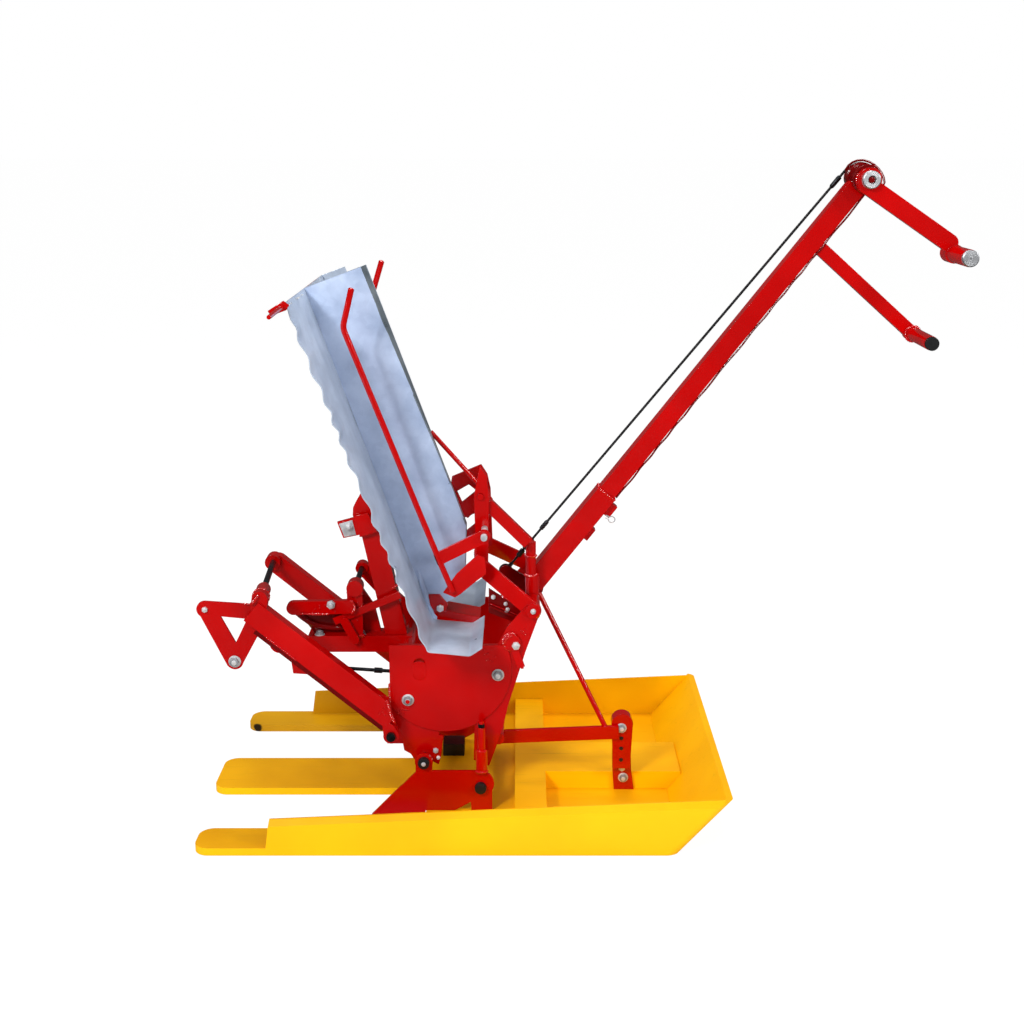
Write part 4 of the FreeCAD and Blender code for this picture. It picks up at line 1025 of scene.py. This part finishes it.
# round drops of spatter beside the welds: middle of the patch in millimetres, spread, count, body
SPATTER = (
    ((46.0, -119.4, 262.0), (16.0, 12.0), 9, "chassis"),
    ((86.0, -116.9, 300.0), (13.0, 9.0), 8, "chassis"),
    ((-124.0, -149.9, 180.0), (5.0, 9.0), 6, "planting_frame"),
    ((-94.0, -119.4, 172.0), (10.0, 6.0), 6, "chassis"),
    ((-224.0, -29.9, 307.0), (24.0, 7.0), 8, "chassis"),
    ((-175.5, -19.9, 300.0), (8.0, 18.0), 6, "chassis"),
)
drop = turned("drop_pattern", 1.5 * MM, 1.3 * MM, 14, 0.9 * MM, weld_enamel)
place_draw = Random(7)
for patch, ((x, y, z), (wide, high), count, body) in enumerate(SPATTER):
    for i in range(count):
        at = (x + place_draw.uniform(-wide, wide), y, z + place_draw.uniform(-high, high))
        size = place_draw.uniform(0.6, 1.2)
        placed(drop, f"spatter_{patch}_{i}", Vector(at) * MM, body, scale=size)
bpy.data.objects.remove(drop)

# ---------------------------------------------------------------- pins, caps and small plates
# Rubber bushes round the foot shafts, a wire clip in the clamp lug, round ends on the mat rods,
# and small plates, bosses and rivets on the stand, the drive and the tray.
SIDES = (("near", -1, None), ("far", 1, FAR))
ROD_Y = 0.1355
DAB_Y = DISC_FACE + 8.0 * MM
BUSH_Y = 0.138
CORE_Y = 0.146
rod_nut = turned("nut_pattern", 5.6 * MM, 6.0 * MM, 6, 0.8 * MM, black_steel)
set_out(rod_nut, "chassis", [(f"rod_nut_{side}", (0.0268, way * ROD_Y, 0.1502), UPRIGHT)
                             for side, way, _ in SIDES])
paint_dab = turned("dab_pattern", 3.4 * MM, 0.7 * MM, 24, 0.3 * MM, enamel)
set_out(paint_dab, "chassis", [(f"plate_bolt_dab_{side}", (-0.0865, way * DAB_Y, 0.1889), turn)
                               for side, way, turn in SIDES])
bush = turned("bush_pattern", 9.0 * MM, 8.0 * MM, 36, 1.2 * MM, rubber)
set_out(bush, "chassis", [(f"foot_bush_{name}_{side}", (x, way * BUSH_Y, z), turn)
                          for name, x, z in (("rear", -0.0625, 0.0935), ("front", 0.0250, 0.0515))
                          for side, way, turn in SIDES])
bright_tip = turned("tip_pattern", 3.4 * MM, 1.4 * MM, 20, 0.5 * MM, zinc)
set_out(bright_tip, "chassis", [(f"foot_bush_core_{side}", (-0.0625, way * CORE_Y, 0.0935), turn)
                                for side, way, turn in SIDES])

clip_wire = points((221.0, -9.5, 453.6), (224.5, -9.5, 452.0))
clip_wire += arc((229.9, -9.5, 447.0), 5.0, 135, -135)
clip_wire += points((224.0, -9.5, 448.0), (220.5, -9.5, 449.6))
rod("lug_clip", clip_wire, 0.95 * MM, 10, zinc, "chassis")
# the far rod is longer and rests lifted a little about its pivot, so its rounded end turns with it
ROD_PIVOT = Vector((0.032, 0.0, 0.447))
TIP_WAY = Vector((0.2425, 0.0, 0.9701))
TIP_STEPS = (0.004, 0.002, 0.0008)
for body, y, extra, lift in (("mat_rod_near", -0.106, 0.0, 0.0),
                             ("mat_rod_far", 0.106, 0.011, 3.3)):
    turn = Matrix.Rotation(math.radians(lift), 3, "Y")
    tip_way = turn @ TIP_WAY
    tip_at = ROD_PIVOT + turn @ (Vector((-0.157, y, 0.817)) + TIP_WAY * extra - ROD_PIVOT)
    rod(body + "_tip", [tip_at - tip_way * back for back in TIP_STEPS], 4.52 * MM, 18, enamel, body)


def flat_piece(name, outline, y_front, thick, bevel, finish, body):
    """A plate from an XZ outline in millimetres, its near face at y_front, its rims rounded."""
    piece = primitive("circle", name, vertices=len(outline), radius=1, fill_type="NGON")
    for vertex, (x, z) in zip(piece.data.vertices, outline):
        vertex.co = (x * MM, y_front * MM, z * MM)
    bpy.ops.object.mode_set(mode="EDIT")
    bpy.ops.mesh.select_all(action="SELECT")
    bpy.ops.mesh.extrude_region_move(TRANSFORM_OT_translate={"value": (0, thick * MM, 0)})
    bpy.ops.mesh.select_all(action="SELECT")
    bpy.ops.mesh.bevel(offset=bevel * MM, segments=2, affect="EDGES")
    bpy.ops.mesh.normals_make_consistent(inside=False)
    bpy.ops.object.mode_set(mode="OBJECT")
    bpy.ops.object.shade_smooth_by_angle(angle=CORNER)
    piece.data.materials.append(finish)
    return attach(piece, body)


# a plate welded over the slot leaves only its rounded top open
flat_piece("slot_filler", (
    (-78.6, 231.0), (-76.0, 224.0), (-68.0, 221.4), (-60.0, 224.0), (-57.4, 231.0),
    (-57.4, 248.0), (-61.5, 250.6), (-68.0, 251.8), (-74.5, 250.6), (-78.6, 248.0),
), -119.75, 5.0, 0.12, enamel, "chassis")

# a thickly painted web with a rolled lower lip and two bosses ties the rear link to the beam; all
# are dark red, painted shade
flat_piece("drive_web", (
    (-278.0, 302.0), (-262.0, 310.0), (-200.0, 310.0), (-188.0, 300.0), (-181.0, 280.0),
    (-179.0, 257.4), (-244.0, 257.4), (-252.0, 268.0), (-262.0, 283.0), (-275.0, 293.0),
), -3.0, 8.0, 0.9, shade_enamel, "chassis")
lip = points((-273.0, -4.0, 294.0), (-262.0, -4.3, 284.0), (-250.0, -4.6, 275.0),
             (-236.0, -4.6, 269.0), (-220.0, -4.6, 266.5), (-204.0, -4.6, 266.0),
             (-190.0, -4.2, 268.0))
rod("drive_web_lip", lip, 4.6 * MM, 18, shade_enamel, "chassis")
web_boss = turned("boss_pattern", 8.0 * MM, 7.0 * MM, 28, 2.0 * MM, shade_enamel)
set_out(web_boss, "chassis", (
    ("drive_web_boss_rear", (-0.271, -0.0025, 0.300), None, 0.9),
    ("drive_web_boss_front", (-0.206, -0.0025, 0.286), None, 1.1)))

GUIDE_FACE = -18.0
flat_piece("guide_bright_plate", (
    (-197.0, 442.5), (-176.0, 448.5), (-170.5, 424.6), (-189.0, 421.2),
), GUIDE_FACE - 1.2, 1.4, 0.4, zinc, "chassis")
flat_piece("guide_clip", ((-171.5, 456.0), (-151.0, 461.0), (-137.0, 430.5), (-164.5, 422.5)),
           GUIDE_FACE - 5.0, 5.2, 0.9, enamel, "chassis")
flat_piece("tray_corner_bracket", (
    (-262.0, 797.0), (-240.0, 811.0), (-232.0, 805.0), (-236.0, 798.0), (-258.0, 790.0),
), -205.0, 4.0, 0.8, enamel, "seedling_tray")
flat_piece("tray_foot_flap", (
    (-72.8, 380.0), (-69.2, 350.2), (-59.4, 322.0), (-53.4, 304.5), (-49.5, 296.5),
    (-44.0, 296.5), (-43.5, 301.0), (-48.0, 306.5), (-56.3, 338.5), (-70.3, 377.5),
), -53.0, 1.4, 0.3, cheek_zinc, "seedling_tray")
rivet = turned("rivet_pattern", 2.6 * MM, 1.0 * MM, 20, 0.6 * MM, zinc)
tipped = Matrix.Rotation(-math.radians(90) + BED_SLOPE, 4, "Y") @ turn_about("X", -90)
rivet_row = BED_TOP + BED_RUN * 0.006 + BED_UP * 0.0006
set_out(rivet, "seedling_tray", [
    (f"tray_rivet_{i}", rivet_row + Vector((0, y, 0)), tipped, scale)
    for i, (y, scale) in enumerate(((-0.104, 1.7), (-0.168, 1.0), (-0.060, 1.0), (-0.185, 0.8)))])
